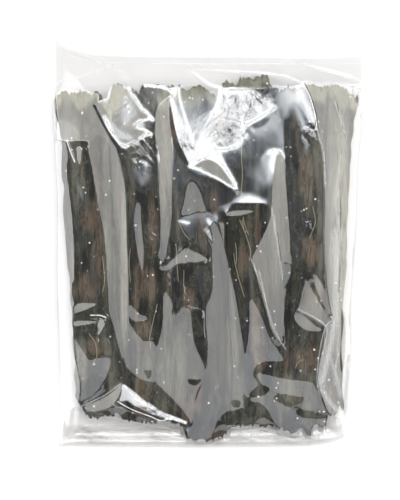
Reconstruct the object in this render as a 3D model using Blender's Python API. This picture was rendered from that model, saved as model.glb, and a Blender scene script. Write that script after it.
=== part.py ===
"""A sealed clear bag of dried kelp strips, lying on its back, as one closed solid.

The bag is a flat film bag. Six folded strips of kelp lie side by side on a lower layer of strips
and lift the film into long ribs. Between two ribs the film spans the gap, at both ends it slopes
down to its flat margins, and a few sharp creases cross it. X runs across the strips, +Y runs
towards the empty header at the top of the bag, and +Z is up. Lengths are in metres.
"""

import math

import bmesh
import bpy
import numpy as np

MM = 0.001

# The bag as it lies, filled
BAG_LENGTH = 248 * MM  # bottom edge to top edge
HALF_LENGTH = BAG_LENGTH / 2
EAR_LENGTH = 13 * MM  # how far the top left corner stands past the top edge
EAR_WIDTH = 14 * MM  # how fast the corner runs out into the edge
LEFT_EDGE = (-94.5 * MM, -95.5 * MM, -100 * MM)  # x at the bottom, the middle and the top
RIGHT_EDGE = (88 * MM, 93 * MM, 100 * MM)
EDGE_WAVE = 0.6 * MM
BOTTOM_CORNER_LIFT = 7 * MM  # the bottom right corner is drawn in by this much
BOTTOM_CORNER_WIDTH = 11 * MM

# Film
FILM_GAP = 0.5 * MM  # the film lies this far outside the kelp
EDGE_CLEARANCE = 7 * MM  # the kelp's height falls off over this distance from the film's edge
WELD_THICKNESS = 0.8 * MM  # the solid's edge, where the front and back film meet
SIDE_WELD_HEIGHT = 5.5 * MM  # the edges stand this far above the table
TOP_WELD_HEIGHT = 2.5 * MM
BOTTOM_WELD_HEIGHT = 4 * MM
UNDERSIDE_ROUNDING = 13 * MM  # how far in from the edges the back leaves the table

# Kelp stack
LOWER_LAYER = 14 * MM  # height of the lower strips and of the upper strips' thin margins
STACK_TOP_END = 104 * MM
STACK_BOTTOM_END = -114 * MM
STACK_LEFT = (-82 * MM, -86 * MM, -97 * MM)  # x at the bottom, the middle and the top
STACK_RIGHT = (83 * MM, 87 * MM, 94 * MM)
TOP_TAPER = 62 * MM  # the stack thins over this length towards the header
TOP_TAPER_SHARE = 0.47
BOTTOM_TAPER = 50 * MM
BOTTOM_TAPER_SHARE = 0.34
SHOULDER_SHARE = 0.38  # how much lower the stack is at its sides

# Upper strips: x of the rib at the top, in the middle and at the bottom, half width of the rib,
# its crest height, and the y of its two cut ends
STRIPS = {
    "first": ((-80, -74, -64), 10.0, 21.0, (99.5, -108)),
    "second": ((-46, -41, -36), 9.0, 22.0, (104, -114)),
    "third": ((-17, -9, 0), 12.0, 23.0, (104, -119)),
    "fourth": ((20, 26, 34), 9.5, 22.5, (110, -112)),
    "fifth": ((64, 63, 60), 11.5, 22.5, (104, -118)),
    "sixth": ((84, 80, 77), 8.5, 17.5, (103, -105)),
}

# Creases of the film: two ends in the plane and how far the crease stands above the kelp
CREASES = [
    ((-71, 92), (-57, 68), 3.5),
    ((-57, 68), (-35, 75), 4.0),
    ((-19, 100), (-6, 54), 3.5),
    ((-6, 54), (19, 39), 3.5),
    ((17, 103), (40, 90), 3.0),
    ((40, 90), (23, 79), 3.0),
    ((58, 102), (69, 76), 3.0),
    ((9, 25), (34, 25), 3.0),
    ((-19, 19), (3, 21), 3.5),
    ((43, 52), (27, -7), 3.0),
    ((27, -7), (47, -62), 3.0),
    ((-84, -47), (-61, -43), 3.0),
    ((-78, -99), (-52, -86), 5.0),
    ((-52, -86), (-11, -108), 5.0),
    ((52, -43), (85, -44), 3.0),
    ((26, -84), (84, -95), 3.0),
]

# Mesh of the solid
COLUMNS = 52
ROWS = 62
FILM_STEP = 2 * MM  # grid on which the film is stretched
FILM_MARGIN = 16 * MM
FILM_ROUNDS = 400
OVER_RELAXATION = 1.85
FILM_SAG_RADIUS = 16 * MM  # radius to which the film hollows where nothing holds it up
CREASE_REACH = 1.3 * MM
FAR_BELOW = -1.0


def along(values, y):
    """A smooth curve through three values, at the bottom, the middle and the top of the bag."""
    low, middle, high = values
    t = np.asarray(y) / HALF_LENGTH
    return middle + (high - low) / 2 * t + ((high + low) / 2 - middle) * t**2


def smooth_step(t):
    t = np.clip(t, 0, 1)
    return t * t * (3 - 2 * t)


def stack_thickness(y):
    """Share of the full thickness that the kelp has at y: it thins towards both ends."""
    top = TOP_TAPER_SHARE * smooth_step((y - (STACK_TOP_END - TOP_TAPER)) / TOP_TAPER)
    bottom = BOTTOM_TAPER_SHARE * smooth_step((STACK_BOTTOM_END + BOTTOM_TAPER - y) / BOTTOM_TAPER)
    return 1 - top - bottom


def kelp_top(x, y):
    """Upper surface of the kelp, far below the table where there is none."""
    left = along(STACK_LEFT, y)
    right = along(STACK_RIGHT, y)
    across = np.abs(2 * (x - left) / (right - left) - 1)
    inside = (across < 1) & (y < STACK_TOP_END) & (y > STACK_BOTTOM_END)
    lower = LOWER_LAYER * (1 - SHOULDER_SHARE * across**6)
    height = np.where(inside, lower, FAR_BELOW)
    for (places, half_width, crest, ends) in STRIPS.values():
        centre = along([p * MM for p in places[::-1]], y)
        across = (x - centre) / (half_width * MM)
        on_strip = (np.abs(across) < 1) & (y < ends[0] * MM) & (y > ends[1] * MM)
        rib = LOWER_LAYER * 0.8 + (crest * MM - LOWER_LAYER * 0.8) * np.sqrt(np.clip(1 - across**2, 0, 1))
        height = np.where(on_strip, np.maximum(height, rib), height)
    return height * np.where(height > 0, stack_thickness(y), 1)


def left_edge(y):
    return along(LEFT_EDGE, y) + EDGE_WAVE * np.sin(y / (17 * MM))


def right_edge(y):
    return along(RIGHT_EDGE, y) + EDGE_WAVE * np.sin(y / (13 * MM) + 1)


def top_edge(x):
    corner = along(LEFT_EDGE, HALF_LENGTH)
    return HALF_LENGTH + EAR_LENGTH * np.exp(-(x - corner) / EAR_WIDTH)


def bottom_edge(x):
    corner = along(RIGHT_EDGE, -HALF_LENGTH)
    return -HALF_LENGTH + BOTTOM_CORNER_LIFT * np.exp((x - corner) / BOTTOM_CORNER_WIDTH)


def weld_height(x, y):
    """Height of the edge nearest to a point: the side seams, the header or the bottom seam."""
    upward = smooth_step((y - 60 * MM) / (60 * MM))
    downward = smooth_step((-y - 90 * MM) / (30 * MM))
    return (
        SIDE_WELD_HEIGHT
        + (TOP_WELD_HEIGHT - SIDE_WELD_HEIGHT) * upward
        + (BOTTOM_WELD_HEIGHT - SIDE_WELD_HEIGHT) * downward
    )


def inset(x, y):
    """Distance from a point to the nearest edge of the bag, negative outside it."""
    sides = np.minimum(x - left_edge(y), right_edge(y) - x)
    ends = np.minimum(top_edge(x) - y, y - bottom_edge(x))
    return np.minimum(sides, ends)


def crease_floor(x, y, resting):
    """resting, raised along each crease, so that the film is tented over it."""
    raised = resting.copy()
    for (start, end, lift) in CREASES:
        start = np.array(start) * MM
        run = np.array(end) * MM - start
        t = np.clip(((x - start[0]) * run[0] + (y - start[1]) * run[1]) / (run @ run), 0, 1)
        off = np.hypot(x - start[0] - t * run[0], y - start[1] - t * run[1])
        taper = 0.35 + 0.65 * np.sin(math.pi * np.clip(t, 0, 1))
        on_crease = off < CREASE_REACH
        raised = np.where(on_crease, np.maximum(raised, resting + lift * MM * taper), raised)
    return raised


def stretched(height, floor, free):
    """The film laid over floor: at each free grid point it hangs a little below the mean of its
    four neighbours, or rests on what is under it."""
    rows, columns = np.indices(height.shape)
    hang = FILM_STEP**2 / (4 * FILM_SAG_RADIUS)
    for colour in range(2 * FILM_ROUNDS):
        mean = (
            np.roll(height, 1, 0) + np.roll(height, -1, 0) + np.roll(height, 1, 1) + np.roll(height, -1, 1)
        ) / 4
        moved = np.maximum(height + OVER_RELAXATION * (mean - hang - height), floor)
        height = np.where(free & ((rows + columns) % 2 == colour % 2), moved, height)
    return height


def film_sheet():
    """The front film on a grid: the grid's x and y values and the film's height over them."""
    xs = np.arange(LEFT_EDGE[2] - FILM_MARGIN, RIGHT_EDGE[2] + FILM_MARGIN, FILM_STEP)
    ys = np.arange(-HALF_LENGTH - FILM_MARGIN, HALF_LENGTH + EAR_LENGTH + FILM_MARGIN, FILM_STEP)
    x, y = np.meshgrid(xs, ys)
    weld = weld_height(x, y) + WELD_THICKNESS
    free = inset(x, y) > 0
    held_up = np.maximum(kelp_top(x, y) + FILM_GAP - weld, 0)
    floor = np.where(free, weld + held_up * smooth_step(inset(x, y) / EDGE_CLEARANCE), FAR_BELOW)
    start = np.where(free, np.maximum(floor, weld), weld)
    tight = stretched(start, floor, free)
    floor = np.where(free, crease_floor(x, y, tight), FAR_BELOW)
    return xs, ys, stretched(np.maximum(tight, floor), floor, free)


def read_sheet(sheet, x, y):
    """Height of the film at a point, between the grid's points."""
    xs, ys, height = sheet
    i = (x - xs[0]) / FILM_STEP
    j = (y - ys[0]) / FILM_STEP
    i0 = int(np.clip(math.floor(i), 0, len(xs) - 2))
    j0 = int(np.clip(math.floor(j), 0, len(ys) - 2))
    fx, fy = i - i0, j - j0
    low = height[j0, i0] * (1 - fx) + height[j0, i0 + 1] * fx
    high = height[j0 + 1, i0] * (1 - fx) + height[j0 + 1, i0 + 1] * fx
    return low * (1 - fy) + high * fy


def plan_place(u, v):
    """Where a point of the unit square lies in the bag's outline."""
    y = (2 * v - 1) * HALF_LENGTH
    x = left_edge(y) + u * (right_edge(y) - left_edge(y))
    low, high = bottom_edge(x), top_edge(x)
    return float(x), float(low + v * (high - low))


def underside(x, y):
    """Height of the back film: on the table, and up to the seam along the edges."""
    inward = 1 - max(float(inset(x, y)), 0.0) / UNDERSIDE_ROUNDING
    return float(weld_height(x, y)) * float(smooth_step(inward)) ** 1.5 if inward > 0 else 0.0


def bag_solid():
    """The filled bag: its back sheet laid out as a grid, then extruded up to the front film."""
    sheet = film_sheet()
    shape = bmesh.new()
    bmesh.ops.create_grid(shape, x_segments=COLUMNS, y_segments=ROWS, size=0.5)
    for point in shape.verts:
        x, y = plan_place(point.co.x + 0.5, point.co.y + 0.5)
        point.co = (x, y, underside(x, y))
    lifted = bmesh.ops.extrude_face_region(shape, geom=shape.faces[:])
    for point in [g for g in lifted["geom"] if isinstance(g, bmesh.types.BMVert)]:
        x, y, z = point.co
        point.co.z = max(read_sheet(sheet, x, y), z + WELD_THICKNESS)
    flat = [f for f in shape.faces if all(v.co.z < 1e-7 for v in f.verts)]
    bmesh.ops.dissolve_faces(shape, faces=flat)
    bmesh.ops.recalc_face_normals(shape, faces=shape.faces[:])
    centred = [(max(c) + min(c)) / 2 for c in zip(*((v.co.x, v.co.y) for v in shape.verts))]
    bmesh.ops.translate(shape, verts=shape.verts[:], vec=(-centred[0], -centred[1], 0))
    return shape


def film_material():
    """Clear film over dark kelp, as one glossy dark olive surface."""
    material = bpy.data.materials.new("clear film over kelp")
    material.use_nodes = True
    shader = material.node_tree.nodes["Principled BSDF"]
    shader.inputs["Base Color"].default_value = (0.11, 0.10, 0.08, 1)
    shader.inputs["Roughness"].default_value = 0.12
    shader.inputs["Metallic"].default_value = 0.0
    return material


def main():
    for old in list(bpy.data.objects):
        bpy.data.objects.remove(old)
    mesh = bpy.data.meshes.new("sealed_bag")
    shape = bag_solid()
    shape.to_mesh(mesh)
    shape.free()
    mesh.shade_smooth()
    mesh.set_sharp_from_angle(angle=math.radians(35))
    mesh.materials.append(film_material())
    bag = bpy.data.objects.new("sealed_bag", mesh)
    bpy.context.scene.collection.objects.link(bag)


main()
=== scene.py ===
import math

import bpy
import numpy as np
from mathutils import Matrix, Vector


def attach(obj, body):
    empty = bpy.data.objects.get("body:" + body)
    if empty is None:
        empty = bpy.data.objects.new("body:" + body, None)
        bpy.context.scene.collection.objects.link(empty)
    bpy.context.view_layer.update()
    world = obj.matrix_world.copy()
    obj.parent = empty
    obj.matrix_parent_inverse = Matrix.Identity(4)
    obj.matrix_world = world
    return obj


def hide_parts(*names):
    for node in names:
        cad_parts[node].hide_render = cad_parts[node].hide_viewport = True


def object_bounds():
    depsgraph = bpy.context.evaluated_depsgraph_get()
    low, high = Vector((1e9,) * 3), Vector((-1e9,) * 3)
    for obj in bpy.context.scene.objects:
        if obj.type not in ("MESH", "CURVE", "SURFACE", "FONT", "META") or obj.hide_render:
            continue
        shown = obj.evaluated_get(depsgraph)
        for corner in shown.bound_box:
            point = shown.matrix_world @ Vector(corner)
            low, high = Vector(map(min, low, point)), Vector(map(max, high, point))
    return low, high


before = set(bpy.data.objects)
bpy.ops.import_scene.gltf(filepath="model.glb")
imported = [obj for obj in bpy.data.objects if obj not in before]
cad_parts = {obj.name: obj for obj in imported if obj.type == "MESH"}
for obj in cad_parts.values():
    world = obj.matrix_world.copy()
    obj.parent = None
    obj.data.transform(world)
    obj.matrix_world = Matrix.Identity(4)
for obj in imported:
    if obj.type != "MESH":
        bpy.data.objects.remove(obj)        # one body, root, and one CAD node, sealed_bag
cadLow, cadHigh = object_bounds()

# Everything is laid out in millimetres on the bag's own sheet: x across the strips, y along them
# with 0 half way up the bag, z up from the table. toFrame moves it into the CAD frame.
mm = 0.001

# The bag's outline. Three values are at the bottom, the middle and the top.
bag = {
    "length": 248,
    "leftEdge": (-94.5, -95.5, -100),
    "rightEdge": (88, 93, 100),
    "edgeWave": 0.6,
    "edgeWaveSizes": (17, 13),
    "earLength": 13,      # the top left corner stands past the top edge
    "earWidth": 14,
    "cornerLift": 7,      # the bottom right corner is drawn in
    "cornerWidth": 11,
    "sideHeight": 5.5,    # height of the weld above the table
    "topHeight": 2.5,
    "bottomHeight": 4,
    "topRun": (60, 60),   # past this y the weld goes over to topHeight, within this length
    "bottomRun": (90, 30),
    "weldGap": 0.5,       # between the front and the back film at the weld
    "backRounding": 13,   # how far in from the edge the back film leaves the table
    "headerRounding": 28,  # and how much farther in the header
    "headerRun": (92, 12),
    "backLevel": 0.1,     # of the back film above the table
    "backCurve": 1.5,     # how late it climbs to the weld
}
halfLength = bag["length"] / 2


def smoothStep(t):
    t = np.clip(t, 0, 1)
    return t * t * (3 - 2 * t)


def reached(place, run):
    # 0 before the run's start, 1 past its length, smooth between
    start, length = run
    return smoothStep((place - start) / length)


def along(values, y):
    # a smooth curve through values at the bottom, the middle and the top
    low, middle, high = values
    t = np.asarray(y) / halfLength
    return middle + (high - low) / 2 * t + ((high + low) / 2 - middle) * t**2


noiseTable = {"cells": 96, "startX": 48.3, "startY": 48.7}


def noise(x, y, stepX, stepY, seed):
    # smooth values between -1 and 1 that change over stepX and stepY
    cells = noiseTable["cells"]
    table = np.random.default_rng(seed).uniform(-1, 1, (cells + 1, cells + 1))
    gx, gy = np.asarray(x) / stepX + noiseTable["startX"], np.asarray(y) / stepY + noiseTable["startY"]
    ix, iy = np.floor(gx).astype(int), np.floor(gy).astype(int)
    fx, fy = smoothStep(gx - ix), smoothStep(gy - iy)
    ix, iy = ix % cells, iy % cells
    low = table[iy, ix] * (1 - fx) + table[iy, ix + 1] * fx
    high = table[iy + 1, ix] * (1 - fx) + table[iy + 1, ix + 1] * fx
    return low * (1 - fy) + high * fy


def leftEdge(y):
    return along(bag["leftEdge"], y) + bag["edgeWave"] * np.sin(y / bag["edgeWaveSizes"][0])


def rightEdge(y):
    return along(bag["rightEdge"], y) + bag["edgeWave"] * np.sin(y / bag["edgeWaveSizes"][1] + 1)


def topEdge(x):
    return halfLength + bag["earLength"] * np.exp((bag["leftEdge"][2] - x) / bag["earWidth"])


def bottomEdge(x):
    return -halfLength + bag["cornerLift"] * np.exp((x - bag["rightEdge"][0]) / bag["cornerWidth"])


def weldHeight(y):
    upward, downward = reached(y, bag["topRun"]), reached(-y, bag["bottomRun"])
    side = bag["sideHeight"]
    return side + (bag["topHeight"] - side) * upward + (bag["bottomHeight"] - side) * downward


def inset(x, y):
    sides = np.minimum(x - leftEdge(y), rightEdge(y) - x)
    return np.minimum(sides, np.minimum(topEdge(x) - y, y - bottomEdge(x)))


def backHeight(x, y):
    # the back film lies on the table and climbs to the weld along the edges, more gently in the header
    rounding = bag["backRounding"] + bag["headerRounding"] * reached(y, bag["headerRun"])
    inward = 1 - np.maximum(inset(x, y), 0) / rounding
    return bag["backLevel"] + (weldHeight(y) - bag["backLevel"]) * smoothStep(inward) ** bag["backCurve"]


# Kelp. Each strip is a long ribbon folded on itself lengthwise: a thick rib rolled over a flat
# layer, and a thin margin that runs out to one side. Its two ends are cut ragged.
kelp = {
    "columns": 84,              # round the folded ribbon
    "rowStep": 1.7,             # along it
    "arcStep": 1.05,            # round it
    "thickness": 1.3,
    "marginThickness": 0.45,
    "upperRun": (0.5, 0.08),    # the part of the ribbon that lies on top, as shares of its width
    "marginRun": (0.90, 0.10),  # and the thin margin
    "innerMargin": 0.3,
    "endThinning": (9, 0.45),   # towards the cut ends: over this length, by this share
    "lowest": 0.35,             # of a strip above the table
    "toothWidth": 1.6,
    "toothLength": 5.5,
    "toothSkew": 1.6,           # most teeth are shallow
    "notch": (0.34, 0.25),      # the slits between them: where they start, and their share of the depth
    "endWave": (1.2, 9),        # of the whole cut end: depth and length
    "endLength": 14,            # of the part that is drawn out to the cut end
    "underShort": 1.5,          # the lower strips end this far short of the upper ones
    "endSpread": 1.28,          # the folds open out towards the cut ends
    "openLength": 42,
    "ribWander": (1.6, 26),     # sideways: how far and over which length
    "crestWave": (0.13, 21),    # in height
    "wrinkle": 0.42,
    "marginCalm": 0.7,          # the share of it that the thin margin lacks
    "foldSize": (3.4, 30),      # of the wrinkles that run along a strip
    "grainSize": (1.9, 9),
    "grainShare": 0.35,
    "frill": 0.9,
    "frillLengths": (5.5, 7),   # of the margin's frill, up and sideways
    "topTaper": ((42, 62), 0.50),     # the pile thins past this y, within this length, by this share
    "bottomTaper": ((68, 46), 0.40),
    "bandSize": (5.5, 60),      # of the paler bands that run along a strip
    "banding": (1.3, 0.15, 0.32),     # their contrast, how rare they are, and how pale
    "brownSize": (7, 34),
    "browning": (1.4, 0.3),
    "marginThin": 0.45,         # how thin and bleached the margin is
    "bleachReach": (17, 8),     # how far in from the top and the bottom end the kelp is bleached
    "bleachMost": (0.9, 0.4),
    "bleachUneven": 6,
    "bleachSize": (7, 40),
    "bleachLength": 14,
}

# x of the strip at the bottom, the middle and the top, half width, z it lies at, z of its crest,
# y of its bottom and top ends, and the side its margin is on
upperStrips = {
    "first": ((-63, -75, -80), 12.5, 7.5, 20.5, (-108, 99), 1),
    "second": ((-37, -41, -48), 10.5, 7.5, 20.0, (-111, 103.5), -1),
    "third": ((-6, -9, -18), 13.5, 8.0, 22.0, (-119, 102), 1),
    "fourth": ((32, 25, 26), 12.5, 8.0, 21.5, (-112, 110), 1),
    "fifth": ((58, 62, 60), 12.5, 8.0, 22.0, (-118, 104), -1),
    "sixth": ((70, 76, 82), 9.0, 7.0, 16.0, (-104, 103), 1),
}
lowerStrips = {
    "firstUnder": ((-64, -76.5, -81), 11.0, 0.6, 10.0, (-104, 101), -1),
    "secondUnder": ((-50, -56, -60), 11.0, 0.6, 9.5, (-106, 100), 1),
    "thirdUnder": ((-22, -28, -34), 13.0, 0.6, 10.0, (-110, 104), 1),
    "fourthUnder": ((8, 4, 2), 13.0, 0.6, 10.5, (-108, 103), -1),
    "fifthUnder": ((44, 41, 44), 13.0, 0.6, 10.5, (-109, 105.5), 1),
    "sixthUnder": ((66, 71, 74), 12.0, 0.6, 9.5, (-102, 101), -1),
}

# the ribbon's path across the strip: offset in half widths, height as a share of the crest
foldPath = [
    (-0.70, 0.42), (-0.10, 0.50), (0.50, 0.44), (0.86, 0.22), (0.55, 0.03), (0.00, 0.00),
    (-0.60, 0.02), (-0.97, 0.18), (-0.88, 0.48), (-0.62, 0.76), (-0.30, 0.95), (0.02, 1.00),
    (0.34, 0.92), (0.62, 0.70), (0.84, 0.46), (1.04, 0.34), (1.26, 0.31),
]
flatPath = [
    (0.95, 0.05), (0.50, 0.0), (0.00, 0.0), (-0.60, 0.0), (-0.97, 0.22), (-0.85, 0.62),
    (-0.45, 0.88), (0.00, 1.0), (0.45, 0.93), (0.85, 0.74), (1.15, 0.60),
]

# Where the cut ends of the kelp lie: x and y
topEnds = [
    (-97, 99.5), (-90, 102.5), (-82, 101), (-79, 103), (-74, 100), (-70, 102), (-67, 99), (-66, 94.5),
    (-61.5, 94), (-61, 105), (-57, 105.5), (-53, 105), (-46, 101), (-44, 100), (-42, 105), (-33, 106),
    (-28, 104.5), (-22, 105), (-20, 103), (-18, 107), (-14, 103), (-10, 104), (-6, 107), (-2, 103), (4, 99),
    (8, 95), (9.5, 108), (12, 108), (19, 105.5), (20, 111), (27, 110.5), (28, 107), (30, 111), (38, 111.5),
    (39.5, 105.5), (45, 104), (48, 102.5), (50, 105), (58, 104), (62, 106), (70, 104.5), (78, 105.5),
    (85, 104.5), (90, 101.5), (97, 99),
]
bottomEnds = [
    (-84, -96), (-80, -100), (-77, -104), (-70, -107), (-64, -106), (-58, -104), (-50, -108), (-38, -110),
    (-30, -108), (-20, -110), (-15.5, -112), (-14.6, -118), (-12.8, -119.8), (-1, -121), (12, -117.5),
    (12.7, -113), (20, -112), (43, -111), (45, -114), (56, -117), (57, -113.5), (61, -113.5), (62, -118),
    (65, -117.5), (66, -111.5), (75, -111), (76, -105), (88, -103),
]

# Where the kelp is brown or pale, one pale patch being a painted sheen: centre, half width and half length,
# how pale, how brown
patches = [
    (-77.5, 20, 4.0, 8, 0.05, 1.0), (-75, 3, 2.5, 12, 0.0, 0.0), (-76, -22, 9, 11, 0.1, 0.8),
    (-71, -60, 6, 6, 0.1, 0.9), (-69, 5, 2.5, 25, 0.05, 0.8), (-83, 40, 3, 16, 0.3, 0.1),
    (-35, 14, 3.5, 20, 0.1, 0.8), (-46, -20, 3, 16, 0.1, 0.6), (-40, 20, 2.2, 20, 0.0, 0.0),
    (-32, 95, 10, 8, 0.35, 0.5), (-41, -50, 6, 6, 0.25, 1.2), (-48, 50, 3, 25, 0.2, 0.3),
    (-36, -22, 4, 12, 0.15, 1.0), (4, 30, 4, 9, 0.05, 1.1), (-12, -32, 4, 7, 0.1, 0.9),
    (-27, -20, 3, 8, 0.1, 0.6), (22, -6, 3.5, 14, 0.05, 0.7), (26, 14, 2.5, 6, 0.1, 0.4),
    (30, -36, 3, 8, 0.1, 0.9), (17, 10, 3, 26, 0.0, 0.0), (64, 0, 5.5, 11, 0.12, 1.0),
    # the pale patch at (62.5, 46) along the fifth strip is a painted sheen, in place of the film's reflection
    # there
    (69, 58, 3.5, 18, 0.35, 0.2), (62.5, 46, 4, 24, 0.22, 0.8), (55, 20, 2.5, 50, 0.0, 0.0),
    (60, -68, 9, 9, 0.12, 0.9), (57, -94, 10, 5, 0.12, 0.8), (66, -60, 4, 14, 0.05, 0.6),
    (10, -104, 8, 5, 0.05, 0.1), (24, -103, 8, 7, 0.05, 0.1), (-53, -12, 2.6, 54, 0.85, 0.0),
    (-64, 10, 3, 50, 0.4, 0.0), (15, -66, 3.2, 38, 0.5, 0.2), (5, -60, 6, 40, 0.1, 0.0),
    (-22, -72, 8, 24, 0.5, 0.2), (-38, -76, 3, 16, 0.35, 0.0), (51, -88, 6, 12, 0.5, 0.2),
    (64, -92, 5, 9, 0.35, 0.0), (44, 10, 4, 40, 0.4, 0.0), (-27, 50, 4, 40, 0.5, 0.1),
    (-80, -70, 4, 14, 0.6, 0.0), (-58, -20, 2.2, 60, 0.15, 0.0), (34, 72, 14, 26, 0.0, 0.0),
    (6, -116, 7, 4, 0.0, 0.9), (84, 20, 6, 90, 0.75, 0.0), (78, 40, 3, 60, 0.55, 0.0),
]

# Where the cut ends are more or less bleached: centre, half width and half length, how bleached
bleached = [
    (30, 106, 12, 8, 0.85), (48, 98, 9, 10, 0.45), (-40, 100, 10, 8, 0.45), (12, -108, 26, 9, 0.05),
    (60, -112, 14, 8, 0.3), (-60, -104, 26, 6, 0.2),
]


def throughPoints(points, count):
    # a smooth path through the points, evenly spaced
    p = np.array(points, float)
    p = np.vstack([2 * p[0] - p[1], p, 2 * p[-1] - p[-2]])
    t = np.linspace(0, 1, 12, endpoint=False)[:, None]
    path = []
    for a, b, c, d in zip(p, p[1:], p[2:], p[3:]):
        bend, twist = a - 2.5 * b + 2 * c - d / 2, 1.5 * (b - c) + (d - a) / 2
        path.append(b + (c - a) / 2 * t + bend * t**2 + twist * t**3)
    path = np.vstack(path + [p[-2:-1]])
    length = np.concatenate([[0], np.cumsum(np.hypot(*np.diff(path, axis=0).T))])
    even = np.linspace(0, length[-1], count)
    return np.stack([np.interp(even, length, path[:, k]) for k in (0, 1)], 1)


def ragged(arc, seed):
    # how far each point round the ribbon falls short of the end
    chance = np.random.default_rng(seed)
    notchFrom, notchDepth = kelp["notch"]
    waveDepth, waveLength = kelp["endWave"]
    tooth = np.floor(arc / kelp["toothWidth"]).astype(int)
    depth = chance.uniform(0, 1, tooth.max() + 1) ** kelp["toothSkew"]
    notch = np.abs((arc / kelp["toothWidth"]) % 1 - 0.5) > notchFrom
    teeth = kelp["toothLength"] * ((1 - notchDepth) * depth[tooth] + notchDepth * notch)
    return teeth + waveDepth * noise(arc, arc, waveLength, waveLength, seed)


def pileHeight(y):
    # share of the full height that the pile has at y
    (topRun, topShare), (bottomRun, bottomShare) = kelp["topTaper"], kelp["bottomTaper"]
    return 1 - topShare * reached(y, topRun) - bottomShare * reached(-y, bottomRun)


def patchShare(x, y, centreX, centreY, wide, long):
    # 1 in a patch, 0 outside, with a fairly sharp edge
    return np.exp(-((((x - centreX) / wide) ** 2 + ((y - centreY) / long) ** 2) ** 2))


def twoFaces(x, y, z, thickness):
    # the points of a sheet's outer face and then, the other way round, of its inner face
    dx, dz = np.gradient(x, axis=1), np.gradient(z, axis=1)
    size = np.hypot(dx, dz) + 1e-6
    nx, nz = -dz / size * thickness / 2, dx / size * thickness / 2
    outer = np.stack([x + nx, y, z + nz], -1)
    inner = np.stack([x - nx, y, z - nz], -1)
    loop = np.concatenate([outer, inner[:, ::-1]], 1)
    loop[..., 2] = np.maximum(loop[..., 2], kelp["lowest"])
    return loop


def kelpColours(x, y, arc, fromEnd, margin, seed):
    # how thin and bleached, how pale and how brown the kelp is at each of those points
    reach, most = np.where(y > 0, *kelp["bleachReach"]), np.where(y > 0, *kelp["bleachMost"])
    uneven = kelp["bleachUneven"] * noise(arc, y, *kelp["bleachSize"], seed + 10)
    bleach = smoothStep((reach + uneven - fromEnd) / kelp["bleachLength"]) * most
    thin = np.clip(kelp["marginThin"] * margin + bleach, 0, 1)
    contrast, rare, most = kelp["banding"]
    pale = smoothStep(noise(arc, y + 2 * arc, *kelp["bandSize"], seed + 8) * contrast - rare) * most
    contrast, rare = kelp["browning"]
    brown = smoothStep(noise(arc, y, *kelp["brownSize"], seed + 9) * contrast - rare)
    brown, pale = brown * np.ones_like(x), pale * np.ones_like(x)
    for *spot, paleness, brownness in patches:
        near = patchShare(x, y, *spot)
        pale, brown = pale + near * (paleness - pale), brown + near * (brownness - brown)
    for *spot, thinness in bleached:
        thin = thin + patchShare(x, y, *spot) * (np.minimum(thin, thinness) - thin)
    paint = {"thin": thin, "pale": pale, "brown": brown}
    return {name: np.concatenate([value, value[:, ::-1]], 1) for name, value in paint.items()}


def kelpStrip(place, halfWidth, base, crest, ends, side, path, seed):
    # a folded ribbon with a frilled margin, as its points and their colours
    columns = kelp["columns"]
    rows = int((ends[1] - ends[0]) / kelp["rowStep"])
    profile = throughPoints(path, columns)
    share = np.linspace(0, 1, columns)[None, :]
    y = np.linspace(ends[0], ends[1], rows)[:, None]
    fromLow, fromHigh = y - ends[0], ends[1] - y
    fromEnd = np.minimum(fromLow, fromHigh)
    # the folded ribbon, crumpled
    opening = 1 - smoothStep(fromEnd / kelp["openLength"])
    across = profile[None, :, 0] * side * (1 + (kelp["endSpread"] - 1) * opening)
    height = profile[None, :, 1]
    (ribWander, wanderLength), (crestWave, crestLength) = kelp["ribWander"], kelp["crestWave"]
    wander = ribWander * noise(y, y * 0, wanderLength, 1, seed) * height
    tall = 1 + crestWave * noise(y, y * 0 + 9, crestLength, 1, seed + 1)
    top = reached(share, kelp["upperRun"])
    marginFrom, marginLength = kelp["marginRun"]
    innerMargin = smoothStep((marginLength - share) / marginLength) * kelp["innerMargin"]
    margin = reached(share, (marginFrom, marginLength)) + innerMargin
    arc = share * columns * kelp["arcStep"]
    folds = 1 - np.abs(noise(arc, y, *kelp["foldSize"], seed + 2)) * 2
    small = noise(arc, y, *kelp["grainSize"], seed + 3)
    x = along(place, y) + halfWidth * across + wander
    z = (base + (crest - base) * height * tall) * pileHeight(y)
    calm = 1 - kelp["marginCalm"] * margin
    z = z + top * calm * kelp["wrinkle"] * (folds + kelp["grainShare"] * small)
    frillUp, frillSide = kelp["frillLengths"]
    z = z + kelp["frill"] * margin * noise(y, y * 0 + 3, frillUp, 1, seed + 4)
    x = x + kelp["frill"] * margin * side * noise(y, y * 0 + 5, frillSide, 1, seed + 5)
    thickness = kelp["thickness"] + (kelp["marginThickness"] - kelp["thickness"]) * margin
    thinLength, thinShare = kelp["endThinning"]
    thickness = thickness * (1 - thinShare * smoothStep((thinLength - fromEnd) / thinLength))
    # its ends, drawn out or back to where the kelp is cut, and torn there
    lowTorn, highTorn = ragged(arc[0], seed + 6), ragged(arc[0], seed + 7)
    lowCut, highCut = (np.interp(x, *np.array(table).T) for table in (bottomEnds, topEnds))
    short = kelp["underShort"] if path is flatPath else 0
    endLength = kelp["endLength"]
    nearLow, nearHigh = (smoothStep((endLength - off) / endLength) for off in (fromLow, fromHigh))
    y = y + (lowCut + short - ends[0] + lowTorn) * nearLow + (highCut - short - ends[1] - highTorn) * nearHigh
    return {"points": twoFaces(x, y, z, thickness), "paint": kelpColours(x, y, arc, fromEnd, margin, seed)}


def allStrips():
    strips = {}
    seed = 11
    for names, path in ((lowerStrips, flatPath), (upperStrips, foldPath)):
        for name, facts in names.items():
            strips[name] = kelpStrip(*facts, path, seed)
            seed += 20
    return strips


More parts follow.
